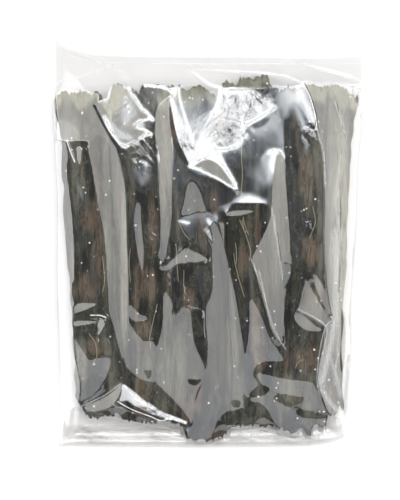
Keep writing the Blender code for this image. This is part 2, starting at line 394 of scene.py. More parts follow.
# Film. It lies over the kelp as a loose skin, drawn into flat panes that meet in creases.
film = {
    "columns": 248,
    "rows": 308,
    "backStride": 4,       # the back film's cells are this many times as large
    "sharpAngle": 50,      # an edge sharper than this isn't shaded smooth
    "rounds": 420,         # of drawing the film tight
    "overRelax": 1.93,
    "standOff": 0.35,      # between the film and the kelp under it
    "backClearance": 0.6,  # between the front and the back film, at least
    "weldDrop": 2,         # how far below the weld the film may lie
    "weldReach": 4,        # within this distance of the edge it keeps to the weld
    "press": 1.2,          # depth over which the kelp is pressed together
    "liftFade": 20,        # up to this height the back film lifts the kelp
    "follow": 300,         # over longer distances the film keeps to the pile
    "between": 0.06,       # how firmly it holds its slope between the panes
    "openHold": 0.3,       # and in the open panes
    "outlineReach": 8,     # a pane's soft edge is looked for within this distance
    "pileSoften": 60,
    "topLean": -5,         # added near the header to the tilt that the film has between the panes
    "topLeanRun": (52, 20),
    "sway": ((0.8, 8, 42), (2.2, 15, 34)),  # how the tilt wanders, to the right and to the top
    "soften": 1,
    "lean": 0.92,          # share of the tilt still missing in a pane that its shading normals add
    "leanLimit": 0.35,
    "leanEdge": 3,         # width of the rim where they add less
    "leanFirm": 0.2,
    "edgeWidth": 12,       # width of the rim where creases and ripples die out
    "creaseEnds": 0.3,     # share of a crease's height that its ends keep
    "facets": ((0.55, 0.8, 430), (0.3, 0.4, 460)),  # of a crumpled spot: size as a share of its radius, seed
    "ripple": 0.035,
    "ripples": ((1, 6, 9), (0.6, 3.5, 5), (2.5, 14, 30)),  # share and size
    "crumpleGain": 1.2,    # how much of a spot's roughness shows as fine wrinkles
    "plainCrumple": 0.007,  # share of the fine wrinkles that the smooth film has
    "creaseWhiteAndHighlight": 0.08,   # how white the film is painted along a crease, partly whitening and partly a painted highlight
    "creasePaint": 0.8,    # and how wide
}

# Tilt of the film between the panes, down to the right in degrees, at places across the bag
leans = [(-97, -44), (-90, -26), (-70, -12), (-48, -7), (0, -5), (40, -5), (58, -4), (74, -4), (78, 30)]

# Panes that mirror little, so that the kelp shows through them: as panes, but they give way more.
openPanes = {
    "firstRib": ((-16, 0), 2, [
        (-90, 69), (-75, 70), (-76, 66), (-74.5, 60), (-71, 38), (-67, 18), (-65, 5), (-63, -30), (-62, -42),
        (-85, -42), (-84, -14), (-87, 30), (-90, 52), (-88, 60),
    ]),
    "secondRib": ((-6, 4), 2, [
        (-54, 64), (-36, 72), (-34, 88), (-42, 92), (-38, 105), (-24, 101), (-34, 88), (-32, 66), (-31, 30),
        (-31, -8), (-29, -14), (-30, -40), (-32, -52), (-40, -56), (-48, -44), (-49, -33), (-50, -10),
        (-52, 30),
    ]),
    "thirdRib": ((-5, 5), 2, [
        (-22, 72), (-12, 50), (2, 47), (18, 38), (14, 30), (4, 28), (0, 26), (-18, 21), (-19, 10), (-24, 6),
        (-23, 20),
    ]),
    "fourthTop": ((-14, 10), 1.5, [(19, 112), (40, 112), (41, 105), (38, 103), (30, 103), (20, 104)]),
    "fourthSide": ((-8, 6), 4, [(44, 92), (56, 94), (54, 84), (50, 66), (46, 66), (46, 80)]),
    "fourthShade": ((-7.3, 7.3, 0.7), 5, [
        (20, 64), (30, 78), (42, 86), (50, 80), (50, 62), (40, 66), (34, 60), (32, 50), (41, 46), (40, 30),
        (40, 20), (36, 10), (28, -3), (20, -4), (14, 4), (16, 22), (34, 26), (17, 42), (13, 50), (9, 57),
        (12, 63),
    ]),
    "lowStreak": ((-2.5, 16), 7, [
        (15, 28), (20, 33), (25, 36.5), (30, 34.5), (38, 30.5), (31, 27), (23, 27),
    ]),
    "fourthGlow": ((-6, 9.9), 10, [(26, 54), (34, 53), (37, 45), (33, 38), (28, 38), (25, 46)]),
    "fourthRib": ((-7, 0), 1.5, [
        (12, 30), (26, 30), (38, 30), (40, 20), (38, 18), (28, -4), (33, -22), (38, -42), (44, -58),
        (38, -52), (30, -34), (25, -30), (25, -60), (22, -62), (18, -36), (14, -12), (10, 4),
    ]),
    "fourthSlot": ((-6, -2), 1.5, [
        (-10, -36), (-3, -38), (-3, -50), (-1, -62), (-1, -72), (-4, -68), (-6, -64), (-8, -58), (-10, -50),
    ]),
    "purple": ((-5, -3), 1.5, [
        (-12, -8), (2, -7), (2, -28), (-3, -36), (-10, -34), (-16, -28), (-22, -22), (-24, -14), (-18, -9),
    ]),
    "purpleGlow": ((-6, 6.6), 2.5, [
        (-9, -8.5), (1.5, -8), (2, -20), (1, -28), (-3, -35), (-5.5, -30), (-7, -20),
    ]),
    "fifthRib": ((-7, 2), 2, [
        (50, 98), (57, 92), (60, 88), (66, 79), (71, 70), (73, 50), (73, 0), (74, -16), (68, -17), (61, -18),
        (57, -36), (53, -41), (56, -47), (60, -51), (72, -50), (74, -53), (71, -70), (69, -84), (62, -82),
        (50, -81), (40, -80), (32, -77.5), (28.5, -75), (33, -70), (41, -69.5), (49, -70), (49, -60),
        (48, -42), (48.5, -27), (52, -16), (53, -8), (52, 5), (50, 30), (48.5, 60), (48, 80),
    ]),
    "dome": ((-6, 8, 1.4), 1, [
        (-20, 19), (-11.4, 24), (-6, 26.3), (-1, 25.8), (4, 22), (7.5, 15), (10, 6), (4, 3), (2.5, -5),
        (-4, 0), (-10, 6), (-14, 12),
    ]),
    "foot": ((-8, -4), 1, [
        (7, -106), (11.5, -102), (18, -100.5), (25, -99), (30.5, -96), (35, -98), (39, -103), (43, -109),
        (40, -108), (35, -103), (31, -102), (30.5, -110), (13, -110.6),
    ]),
    "footLow": ((-7, -4), 0.8, [(4.8, -113.5), (12, -113.5), (12, -117), (5, -119), (0, -120.5)]),
    "firstFoot": ((-7, -3), 2, [
        (-61, -44), (-56, -62), (-52, -72), (-42, -80), (-32, -84), (-12, -106), (-30, -100), (-46, -90),
        (-53, -81), (-66, -88), (-62, -76), (-60, -62),
    ]),
}

# The panes: tilt in degrees down to the right and down to the top, perhaps with the change of the
# second over 10 mm towards the top, width of the soft edge, and the outline. A later pane lies over
# an earlier one.
panes = {
    "header": ((-9, 2), 4, [
        (-112, 140), (112, 140), (112, 104), (62, 106), (56, 103), (40, 105), (18, 104), (8, 101), (-5, 102),
        (-20, 105), (-40, 104), (-60, 100), (-95, 97), (-112, 98),
    ]),
    "apron": ((-4, -8), 3, [
        (-92, -102), (-80, -103), (-64, -106), (-40, -110), (-16, -113), (-15.5, -119), (-13, -121.5),
        (-1, -122.8), (12.5, -119), (14, -114), (42, -113), (56, -117), (66, -113), (76, -108), (88, -104),
        (90, -140), (-94, -140),
    ]),
    "leftLow": ((-35, 0), 1, [
        (-94, -14), (-86.5, -14), (-86, -50), (-85, -62), (-82, -75), (-80, -88), (-82, -97), (-90, -102),
        (-95, -60),
    ]),
    "leftMargin": ((-35, 0), 1, [
        (-98, 70), (-90, 69), (-89, 60), (-90, 52), (-89, 45), (-87, 30), (-85, 10), (-84.5, -12), (-87, -14),
        (-92, 0), (-95, 30),
    ]),
    "shoulderMargin": ((-19, 5), 0.6, [(-100, 104), (-93, 101), (-91, 70), (-97, 70)]),
    "ribCap": ((-14, 33), 1, [(-87, 70.5), (-75, 73), (-74, 65), (-86.5, 63)]),
    "shoulder": ((10, 10), 1, [
        (-96.5, 98), (-95, 100.5), (-89, 102.8), (-82, 101), (-78, 102.8), (-73, 100.5), (-69, 100),
        (-69.5, 92), (-60, 71), (-55, 55), (-60, 40), (-71, 38), (-73, 50), (-75, 60), (-76, 66), (-75, 70),
        (-90, 69), (-93.5, 70),
    ]),
    "shoulderLight": ((9, 15), 3, [(-95, 87), (-77, 72), (-90, 69), (-96, 70)]),
    "firstLeft": ((8, -2, 0.6), 1, [
        (-75, 75), (-62, 72), (-60, 50), (-59, 20), (-56, 0), (-54, -35), (-53, -70), (-55, -67), (-58, -55),
        (-60, -46), (-62.5, -40), (-63, -30), (-64, -10), (-65, 5), (-67, 18), (-70, 30), (-71, 38),
        (-73, 50), (-75, 62),
    ]),
    "firstRight": ((9, 3, 0.8), 1.5, [
        (-61, 72), (-59, 66), (-55, 55), (-52, 42), (-51.5, 30), (-51, 10), (-50, -10), (-49.5, -34),
        (-50, -44), (-47, -49), (-43, -54), (-40, -57), (-35, -56), (-32, -60), (-31, -84), (-39, -82),
        (-43, -81), (-48, -77), (-53, -72), (-54, -60), (-54, -35), (-56, 0), (-60, 22),
    ]),
    "besideFirst": ((8, -2), 1, [
        (-50, -33), (-47, -35), (-43, -40), (-38, -41), (-38.5, -44.5), (-50, -44.5),
    ]),
    "lens": ((8, -7), 1, [
        (-44, 32), (-42, 28), (-42, 20), (-41, 12), (-40, 0), (-40.5, -10), (-41.5, -13), (-43, -8), (-45, 0),
        (-46.5, 12), (-47, 20), (-46, 28),
    ]),
    "tongue": ((8, 4, 1.5), 0.8, [
        (-33, 90), (-29, 94), (-24, 99), (-23, 95), (-24, 88), (-23.5, 80), (-22, 60), (-22.5, 40),
        (-22.5, 20), (-24, 10), (-26, 0), (-26, -4), (-28, -6.5), (-30, -6), (-32, -3), (-31, 0), (-30, 5),
        (-30.5, 30), (-31, 40), (-30.5, 55), (-30, 60), (-32, 66), (-34, 72), (-33.5, 80),
    ]),
    "sail": ((7, -5), 1.5, [
        (-18, 22), (-15, 30), (-14, 40), (-11, 45), (-6, 41), (-3, 32), (0, 24), (-6, 25), (-12, 22.5),
    ]),
    "hook": ((9, 5), 0.8, [
        (-32, -10.5), (-28, -13), (-22, -11), (-20, -8), (-10, -7), (2, -6), (-3, -3), (-6, -1), (-10, 0),
        (-14, 2), (-18, -1), (-21, -4), (-24, -7), (-28, -10),
    ]),
    "middle": ((7, -4), 1, [
        (2.2, 2), (0, 6), (-2.2, 10), (-1.5, 14), (1, 14.5), (3, 18.5), (5, 18), (7.5, 12), (9.5, 5),
        (12, -4), (14, -14), (17, -25), (18.5, -35), (20, -45), (23, -62), (24, -75), (22, -90), (23, -98),
        (18, -101), (11, -101), (5, -108.5), (4.6, -113), (-1, -121.5), (-13, -120), (-15, -111), (-9, -111),
        (-10, -100), (-4, -84), (-1, -74), (0, -60), (-2, -45), (-1.5, -34), (2.5, -28), (3, -15), (2.5, -8),
        (2.5, 0),
    ]),
    "lowMiddle": ((9, -1), 1, [
        (-28.5, -24), (-24, -29), (-22, -33), (-23, -41), (-20, -43), (-16, -41), (-14, -36), (-11, -36),
        (-10, -45), (-9, -57), (-6, -64), (-1, -74), (-3, -82), (-8, -90), (-10, -111), (-12, -106),
        (-18, -98), (-24, -92), (-30, -86), (-34, -82), (-34, -62), (-31, -58), (-28, -44),
    ]),
    "blobGlow": ((-5, 12.4), 10, [(35, 50), (38, 57), (43, 56), (42, 46), (39, 41), (35, 44)]),
    "blob": ((-3, 15.8), 6, [
        (39.5, 59), (42.5, 63), (46, 62.5), (47, 59), (44, 54.5), (41.5, 49), (39.5, 53),
    ]),
    "right": ((9, 5.5, 1.1), 0.8, [
        (43, 60), (46, 62), (48.5, 58), (48.5, 50), (50, 30), (51, 15), (52, 5), (51, -6), (46.5, -8),
        (46, -15), (47, -20), (48, -28), (48, -42), (47, -57), (43, -56), (39, -48), (37, -40), (32, -22),
        (27, -5), (30, 0), (36, 12), (39.5, 20), (40, 27), (40.5, 40), (42, 50),
    ]),
    "rightDim": ((4, -6), 2.5, [(46, -8), (52, -8), (53, -14), (50, -20), (48, -24), (46.5, -16)]),
    "blueWedge": ((8, -8), 1, [
        (26, -28), (31, -35), (34, -42), (37, -50), (40, -57), (44, -62), (49, -70), (41, -69.5), (33, -70),
        (28.5, -75), (29, -79), (32, -83), (31, -86), (30, -90), (28, -93), (22, -92), (22, -70), (25, -60),
        (26, -45),
    ]),
    "lowRight": ((9, -6), 0.8, [
        (30, -76), (36, -78), (50, -81), (60, -82), (66, -83), (69, -86), (73, -95), (77, -103), (66, -101),
        (56, -100), (60, -95), (61, -92), (54, -91.5), (44, -90), (38, -88), (33, -84),
    ]),
    "lowRightEnd": ((8, -6), 0.8, [
        (28, -91), (38, -88), (44, -90), (41, -93), (48, -97), (53, -99), (56, -101), (61, -106), (66, -105),
        (76, -105), (75, -111), (65, -112), (64, -118), (58, -116), (55, -117), (45, -113), (41, -107),
        (37, -99), (32, -95.5), (26, -95),
    ]),
    "ribSpot": ((8, 1), 0.8, [
        (61.3, -17), (62.5, -20), (66, -25.9), (68.4, -28.9), (70.7, -33.4), (73.7, -38), (77.5, -43.3),
        (81, -46), (74, -46.5), (66, -41.6), (57, -36.3), (60, -31.2), (61.6, -25.9), (60.6, -20),
    ]),
    "ribSide": ((6, 4), 1.2, [
        (66, -13), (70, -17), (73.7, -24.4), (77.5, -38), (80.5, -43), (75.4, -38.5), (71.8, -32.5),
        (69, -25.9), (66.3, -18.5),
    ]),
    "ribSpotLow": ((7, 4), 0.8, [
        (54, -41), (55.5, -39.2), (60, -39.8), (64, -42.8), (67.6, -47), (73, -49.8), (69, -51),
        (61.6, -50.2), (56.3, -46.3),
    ]),
    "fifthHaze": ((-6.3, 8.7), 8, [
        (53, 96), (58, 91), (62, 84), (64, 74), (64, 64), (62, 58), (60, 68), (56, 82),
    ]),
    "fifthStreak": ((-2.5, 16), 9, [
        (57, 104), (63, 105), (67, 98), (69.5, 88), (70, 77), (68.5, 74), (66.5, 81), (63, 90), (57.5, 97),
    ]),
    "rightSide": ((32, 3), 1.5, [
        (59.5, 106), (63, 107.5), (70, 105.5), (79, 106.8), (86, 105.5), (91, 103), (98, 100), (98, 50),
        (92, 20), (90, 0), (89, -30), (88, -60), (86, -95), (86, -106), (76, -103), (73, -95), (69, -86),
        (71, -70), (75, -52), (80, -43), (76, -30), (74, -15), (73, 0), (73, 30), (73, 50), (71, 70),
        (67, 85), (64, 98),
    ]),
    "rightShade": ((18.5, 0), 2, [
        (82, -36), (87.5, -36), (87.5, -60), (86, -78), (83, -76), (82, -60), (82.5, -45),
    ]),
    "ribWedge": ((-7, -3), 0.5, [
        (59.5, -38.8), (66, -43), (73.5, -48), (73, -49.6), (67.5, -47), (62, -41.8),
    ]),
    "lowLeftTop": ((9, 10), 1, [(-84, -32), (-68, -32.5), (-73, -36), (-80, -38.5), (-86, -41)]),
    "lowLeftMiddle": ((9, 10), 0.8, [(-86, -43.5), (-70, -43.5), (-68, -45), (-78, -47), (-86, -48.5)]),
    "lowLeft": ((8, -6), 1, [
        (-86, -52), (-79, -61), (-75, -69), (-70, -67), (-65, -67), (-60, -67), (-63, -78), (-70, -90),
        (-77, -94), (-82, -96), (-80, -88), (-82, -75), (-85, -62),
    ]),
    "lowLeftSide": ((1.3, -7), 2, [
        (-66, -50), (-62, -44.5), (-61, -50), (-60, -60), (-61, -67), (-66, -66), (-67, -58),
    ]),
    "apronFacet": ((9, 13), 0.8, [
        (-80, -98), (-65, -91), (-55, -83.5), (-53, -83), (-56, -92), (-60, -98), (-65, -100.5), (-76, -103),
    ]),
    "apronStreak": ((-2.5, 15), 2, [
        (-54, -84), (-48, -87), (-38, -95), (-26, -103), (-14, -108.5), (-26, -106.5), (-36, -103.5),
        (-46, -99), (-53, -94),
    ]),
    "lensMid": ((-7, -3), 0.8, [(25, -92), (29, -87), (33, -84.5), (40, -86), (36, -91), (31, -92)]),
    "lensFoot": ((-7, -3), 0.6, [
        (41, -91.7), (47, -90.2), (54, -91.5), (61, -92.4), (58.5, -95.4), (52.4, -99), (47, -96.7),
        (42.6, -94),
    ]),
    "lensEnd": ((-7, -3), 0.6, [
        (54.7, -100.7), (60, -100), (68, -102.5), (76, -103.7), (75, -106.3), (63, -106), (57.7, -104.5),
    ]),
    "apronBright": ((-2, 15.5), 1, [
        (-54, -83), (-50, -86), (-47, -92), (-52, -95.5), (-57, -95), (-55, -90),
    ]),
    "pocket": ((9, 12), 2, [
        (-71, 93), (-67, 96), (-63, 96), (-62.5, 104.5), (-56, 106), (-52, 104), (-47, 98), (-42, 90),
        (-38, 87), (-35, 83), (-42, 82), (-46, 78.5), (-39, 77), (-36, 74), (-45, 70), (-53, 66), (-60, 72),
        (-66, 83),
    ]),
    "pocketSheen": ((4, 14), 8, [(-53, 100), (-48, 94), (-44, 88), (-50, 80), (-54, 78), (-56, 90)]),
    "pocketGlow": ((1, 14), 7, [(-64, 82), (-60, 75), (-55, 71), (-47, 71), (-53, 74), (-58, 78), (-62, 82)]),
    "headTriangle": ((-7.1, 8.2), 1, [
        (-48, 100), (-41, 100), (-38, 105), (-30, 104), (-22, 100), (-28, 95), (-34, 90), (-34, 78),
        (-38, 78), (-37, 87), (-42, 91),
    ]),
    "secondStreak": ((-2, 16), 5, [
        (-24, 98), (-21, 96), (-17, 85), (-12, 74), (-7, 67), (-5, 60), (-11, 54), (-16, 58), (-20, 68),
        (-23, 80), (-24, 88),
    ]),
    "streakEdge": ((-9, 5), 0.8, [
        (-24.5, 97), (-22.7, 88), (-20.5, 76), (-16, 63), (-11, 54), (-15, 54), (-20, 62), (-23.3, 74),
        (-25, 88),
    ]),
    "thirdHead": ((2.0, 10.6, -2.4), 5, [
        (-19, 108), (9, 107), (8, 96), (4, 88), (3, 78), (-1, 68), (-7, 66), (-11, 72), (-14, 82), (-18, 95),
    ]),
    "centreBright": ((-4.6, 12.3), 3, [
        (4, 90), (8, 98), (10, 103), (28, 101), (41, 91), (30, 84), (22, 79), (20, 70), (18, 66), (10, 62),
        (3, 60), (-2, 72), (1, 82),
    ]),
    "centreLow": ((-3.2, 15), 5, [
        (2, 86), (8, 88), (14, 82), (17, 72), (14, 66), (8, 62), (0, 59), (-9, 62), (-5, 72),
    ]),
    "facetTop": ((-4, 11.5), 1.5, [(9, 101.5), (29, 100.5), (30.5, 97.3), (26, 92), (14, 96)]),
    "facetSide": ((-5.5, 11.5), 1.5, [(30.5, 97.5), (41.3, 90.2), (39.5, 87.5), (25.8, 79.5), (25, 91)]),
    "facetLow": ((-3, 14.5), 2.5, [(2.7, 86.3), (14, 85.7), (25, 80.5), (21.3, 70.2), (12, 62.4), (4, 64)]),
    "crinkleHigh": ((-4.3, 12.6), 1, [
        (3, 86.5), (9, 82.3), (17, 81), (25, 79), (21, 76.5), (11, 78), (5, 81),
    ]),
    "crinkleLow": ((-4.6, 12.2), 1, [(4, 66), (10, 65), (18, 67.5), (24, 73.5), (16, 72), (8, 69.5)]),
    "centreTail": ((-3, 16), 1, [
        (3, 66), (8, 58), (13, 50), (18, 40), (14, 41), (10, 50), (3, 58), (-3, 59), (-11, 54), (-4, 61),
    ]),
    "vee": ((9, 8), 0.8, [
        (-10, 53.5), (-2, 58), (3, 57), (8, 53), (13, 46), (18, 39.5), (13, 41.5), (8, 45), (2, 48), (-4, 51),
    ]),
    "centreShade": ((-6.5, 12), 13, [(27, 78), (34, 83), (42, 85), (44, 79), (36, 74), (28, 74)]),
    "edgeShade": ((-7, 8), 2, [(26.5, 78.5), (30, 81.5), (36, 84), (39.5, 84.5), (37, 80), (31, 77)]),
    "headSheen": ((-6.6, 11), 9, [(44, 103), (56, 102), (57, 96), (53, 91), (50, 83), (47, 86), (45, 97)]),
    "underStreak": ((9, 6), 0.8, [(10, 24), (20, 26), (31, 25.5), (24, 23), (16, 21.5), (12, 22)]),
    "domeTip": ((-2.5, 14.5), 2, [(-20, 19.2), (-15, 19.4), (-10.5, 17.8), (-13, 16.2), (-16, 17.6)]),
    "domeSide": ((-3.5, 13.5), 2, [(-1.5, 20.5), (0.5, 21), (2.8, 18), (2.5, 16), (0, 16.5)]),
    "middleHead": ((-1, 13), 2.5, [(-2.5, 14), (0, 15.5), (2, 13), (3.5, 7), (3, 3), (1, 7), (-1.5, 9.5)]),
    "gapLow": ((-7, -4), 0.8, [(-13, -80.5), (-8, -81.5), (-3.5, -81), (-6, -84), (-9, -85), (-12, -83)]),
    "gapHeart": ((-8, -4), 0.6, [
        (-40.5, -74.5), (-38, -76), (-35, -74.5), (-36, -79), (-37.5, -81), (-39, -78.5),
    ]),
    "gapSmall": ((-7, -4), 0.8, [(14.5, -94.5), (17, -94), (20.5, -95), (20, -98.5), (17, -99), (15, -97)]),
    "lensA": ((9, 5), 0.6, [(-84, 66), (-79.2, 66), (-79.5, 58), (-81.5, 51.5)]),
    "sheenA": ((-5.8, 9.7), 8, [(-87, 52), (-81, 50), (-75.5, 36), (-75, 29), (-80, 28), (-85, 36)]),
    "sheenB": ((-5.4, 10.6), 8, [(-49, 62), (-35, 62), (-35, 46), (-41, 37), (-48, 45)]),
}

# Strokes: narrow bends of the film: the tilt, half the width and the line
strokes = [
    ((-16, 2), 0.8, [(-72, 92), (-66, 80), (-61, 71), (-57, 66)]),
    ((-1, 17), 1.2, [(-65.5, 85), (-64, 82), (-60, 74), (-56, 68), (-52, 66)]),
    ((-1, 17), 1.3, [(-54, 66), (-50, 66.5), (-45, 69), (-40, 73), (-36, 74)]),
    ((-1, 17), 0.7, [(-36, 73.6), (-40, 76.2), (-46, 78)]),
    ((-1, 17), 0.7, [(-47, 79.8), (-43, 82.8), (-35, 83.6)]),
    ((-1, 17), 1.2, [(-35, 83), (-38, 87), (-42, 90), (-47, 98), (-50, 103)]),
    ((-1, 16), 0.8, [(-40, 105), (-30, 104), (-24, 102), (-21, 98)]),
    ((-1, 17), 0.9, [(-11, 53.5), (-4, 51), (2, 48), (8, 45), (13, 41.5), (18, 39.5)]),
    ((-1, 17), 1.5, [(4, 64), (9, 56), (13, 49), (17, 42)]),
    ((-1, 17), 1.2, [(-11, 53.5), (-5, 57), (0, 59)]),
    ((-1, 17), 1.4, [(8, 102), (16, 102), (25, 101.5), (30, 99)]),
    ((-1, 17), 1.2, [(30, 99), (35, 95), (42, 91)]),
    ((-1, 17), 1.2, [(42, 90), (34, 85), (25, 80)]),
    ((-2, 16), 0.9, [(2.5, 87.5), (9, 83.3), (17, 82), (25, 79.5)]),
    ((-2, 16), 0.9, [(3.5, 65), (9.5, 63.8), (18, 66.3), (24.5, 73)]),
    ((-1, 17), 0.9, [(38.5, 62), (41.5, 63.8), (45, 62.8), (47.5, 59)]),
    ((-1, 16), 1.0, [(61, 104), (64, 98), (67, 88), (68.5, 78)]),
    ((-1, 16), 0.9, [(61, 78), (66, 76), (69, 77)]),
    ((-2, 15), 1.0, [(-89, 69), (-86.5, 62), (-84, 56)]),
    ((-2, 16), 2.6, [
        (-53, -85), (-49, -89), (-45, -94), (-38, -97.5), (-31, -102), (-24, -104), (-14, -108),
    ]),
    ((-2, 17), 0.9, [(-57, -95), (-48, -100), (-36, -104.5), (-30, -107), (-22, -106), (-14, -109)]),
    ((26, 2), 1.2, [(74, 98), (78, 70), (78, 40), (80, 10), (79, -20)]),
    ((25, 2), 1.0, [(86, 90), (85, 50), (88, 20), (84, -10)]),
    ((38, 2), 1.0, [(82, 96), (82, 60), (84, 30), (82, 0), (83, -25)]),
    ((25, 2), 1.0, [(76, -60), (73, -80), (78, -98)]),
    ((-1, 17), 0.8, [(-74, -40.5), (-68, -40.5), (-64, -42)]),
]

# Creases: the line, how far the film stands up along it, and half its width
creases = [
    ([(-12, 115), (-5, 109), (2, 104), (8, 102.5)], 0.35, 0.8),
    ([(-14, 116), (14, 113.5), (34, 112), (49, 110), (59, 106)], 0.25, 0.8),
    ([(30, 99), (27, 90), (23, 81)], 0.15, 0.8),
    ([(68, 79), (73, 60), (73.5, 40)], 0.3, 0.9),
    ([(-80, -98), (-65, -91), (-55, -83.5)], 0.5, 0.8),
    ([(-60, -97), (-57, -98.5), (-54, -99)], 0.3, 0.7),
    ([(27, -5), (33, -20), (38, -37), (43, -52), (49, -62)], 0.12, 0.8),
    ([(40, 27), (43, 10), (45, -5), (47, -18)], 0.12, 0.8),
    ([(57, -36.6), (66, -41.4), (73, -46), (75, -52), (71, -70), (69, -86)], 0.3, 0.8),
    ([(80, -43), (74, -48), (70, -66), (69, -85), (75, -95), (82, -101)], 0.3, 0.9),
    ([(82, 40), (83, 10), (82, -20), (82, -60), (80, -85)], 0.4, 1.0),
    ([(86, 75), (80, 95)], 0.3, 1.0),
    ([(-88, 69), (-84, 57)], 0.4, 0.6),
    ([(-92, 129), (-70, 121), (-52, 112)], 0.25, 1.2),
    ([(-60, 118), (-75, 112), (-98, 106)], 0.25, 1.2),
    ([(60, 118), (80, 112), (97, 108)], 0.2, 1.2),
    ([(-80, -112), (-50, -110), (-20, -114)], 0.3, 1.0),
    ([(12, -111), (30, -113), (44, -116), (60, -120)], 0.3, 1.0),
]

# Folds painted milky white, partly real whitening and partly a painted highlight: the line, half the width
# and how white
milkyHighlight = [
    ([(80.5, 12), (81, -15), (80, -44)], 2.4, 0.20),
    ([(80, -45), (76.5, -64), (71.5, -83)], 2.0, 0.26),
    ([(72, -86), (76, -94), (82, -101)], 1.6, 0.22),
    ([(84, 60), (80, 30), (84, 5)], 1.0, 0.15),
    ([(74, -60), (80, -75), (84, -92)], 1.2, 0.20),
    ([(57, -37), (66, -41.6), (74, -46.2), (80, -46)], 0.8, 0.25),
    ([(-87, -30), (-86, -60), (-84, -90)], 1.0, 0.10),
    ([(-75, -108), (-40, -112), (-20, -116)], 2.5, 0.10),
    ([(16, -113), (40, -116), (64, -121)], 2.5, 0.10),
]

# Crumpled spots: centre, radius and how rough
crumples = [
    ((-42, 62), 7.5, 0.9),
    ((-34, 8), 5.0, 0.5),
    ((-22, -18), 5.0, 0.5),
    ((-14, -24), 3.5, 0.35),
    ((65, 74), 6.0, 0.6),
    ((63, 17), 5.0, 0.5),
    ((-67, -56), 5.0, 0.35),
    ((56, -30), 3.5, 0.3),
    ((58, -67), 7.0, 0.4),
    ((-12, 5), 3.0, 0.3),
    ((18, 93), 10.0, 0.22),
    ((13, 75), 10.0, 0.35),
    ((0, 78), 8.0, 0.20),
    ((1, 13), 4.0, 0.12),
    ((-14, 66), 6.0, 0.25),
    ((-52, 92), 9.0, 0.15),
    ((33, 97), 6.0, 0.35),
    ((-36, -99), 8.0, 0.25),
    ((58, -100), 8.0, 0.25),
]


def filmGrid():
    u, v = np.meshgrid(np.linspace(0, 1, film["columns"] + 1), np.linspace(0, 1, film["rows"] + 1))
    y = (2 * v - 1) * halfLength
    x = leftEdge(y) + u * (rightEdge(y) - leftEdge(y))
    low, high = bottomEdge(x), topEdge(x)
    return x, low + v * (high - low)


def gridPlace(x, y):
    # the nearest grid point of the film over a point of the sheet
    v = (y - bottomEdge(x)) / (topEdge(x) - bottomEdge(x))
    plain = (2 * v - 1) * halfLength
    u = (x - leftEdge(plain)) / (rightEdge(plain) - leftEdge(plain))
    return u * film["columns"], v * film["rows"]


def kelpTop(strips, shape):
    # height of the kelp under each grid point of the film
    floor = np.full(shape, -1.0)
    for strip in strips.values():
        p = strip["points"].reshape(-1, 3)
        i, j = gridPlace(p[:, 0], p[:, 1])
        i, j = np.rint(i).astype(int), np.rint(j).astype(int)
        inside = (i >= 0) & (i < shape[1]) & (j >= 0) & (j < shape[0])
        np.maximum.at(floor, (j[inside], i[inside]), p[inside, 2])
    return floor


def beside(values):
    # the sum of each inner point's four neighbours
    return values[:-2, 1:-1] + values[2:, 1:-1] + values[1:-1, :-2] + values[1:-1, 2:]


def checkered(free):
    # the free points in two sets, like the squares of a chessboard
    rows, columns = np.indices(free.shape)
    return [free & ((rows + columns) % 2 == k) for k in (0, 1)]


def relax(height, floor, free):
    # a skin drawn tight: each free point is the mean of its four neighbours or rests on the floor
    squares = checkered(free)
    for _ in range(film["rounds"]):
        for square in squares:
            mean = np.zeros_like(height)
            mean[1:-1, 1:-1] = beside(height) / 4
            moved = np.maximum(height + film["overRelax"] * (mean - height), floor)
            height = np.where(square, moved, height)
    return height


def distanceToLine(x, y, points):
    # distance to an open line through points, and how far along it the nearest place is
    best = np.full(x.shape, np.inf)
    place = np.zeros(x.shape)
    steps = len(points) - 1
    for k, ((ax, ay), (bx, by)) in enumerate(zip(points, points[1:])):
        dx, dy = bx - ax, by - ay
        t = np.clip(((x - ax) * dx + (y - ay) * dy) / (dx * dx + dy * dy), 0, 1)
        off = np.hypot(x - ax - t * dx, y - ay - t * dy)
        nearer = off < best
        best = np.where(nearer, off, best)
        place = np.where(nearer, (k + t) / steps, place)
    return best, place


def nearOutline(x, y, outline):
    # which points lie in a rounded closed outline, and how far they are from its edge
    ring = np.array(outline, float)
    reach = film["outlineReach"]
    for _ in range(2):
        after = np.roll(ring, -1, 0)
        ring = np.stack([ring * 0.75 + after * 0.25, ring * 0.25 + after * 0.75], 1).reshape(-1, 2)
    low, high = ring.min(0) - reach, ring.max(0) + reach
    near = (x > low[0]) & (x < high[0]) & (y > low[1]) & (y < high[1])
    nx, ny = x[near], y[near]
    crossed = np.zeros(nx.shape, bool)
    for (ax, ay), (bx, by) in zip(ring, np.roll(ring, -1, 0)):
        at = ax + (ny - ay) * (bx - ax) / (by - ay + 1e-12)
        crossed ^= ((ay > ny) != (by > ny)) & (nx < at)
    inside = np.zeros(x.shape, bool)
    off = np.full(x.shape, reach + 1.0)
    inside[near] = crossed
    off[near] = distanceToLine(nx, ny, np.vstack([ring, ring[:1]]))[0]
    return inside, off


def softened(height, free, times):
    for _ in range(times):
        mean = height.copy()
        corners = height[:-2, :-2], height[2:, 2:], height[:-2, 2:], height[2:, :-2]
        mean[1:-1, 1:-1] = sum(corners, height[1:-1, 1:-1] * 4 + beside(height) * 2) / 16
        height = np.where(free, mean, height)
    return height


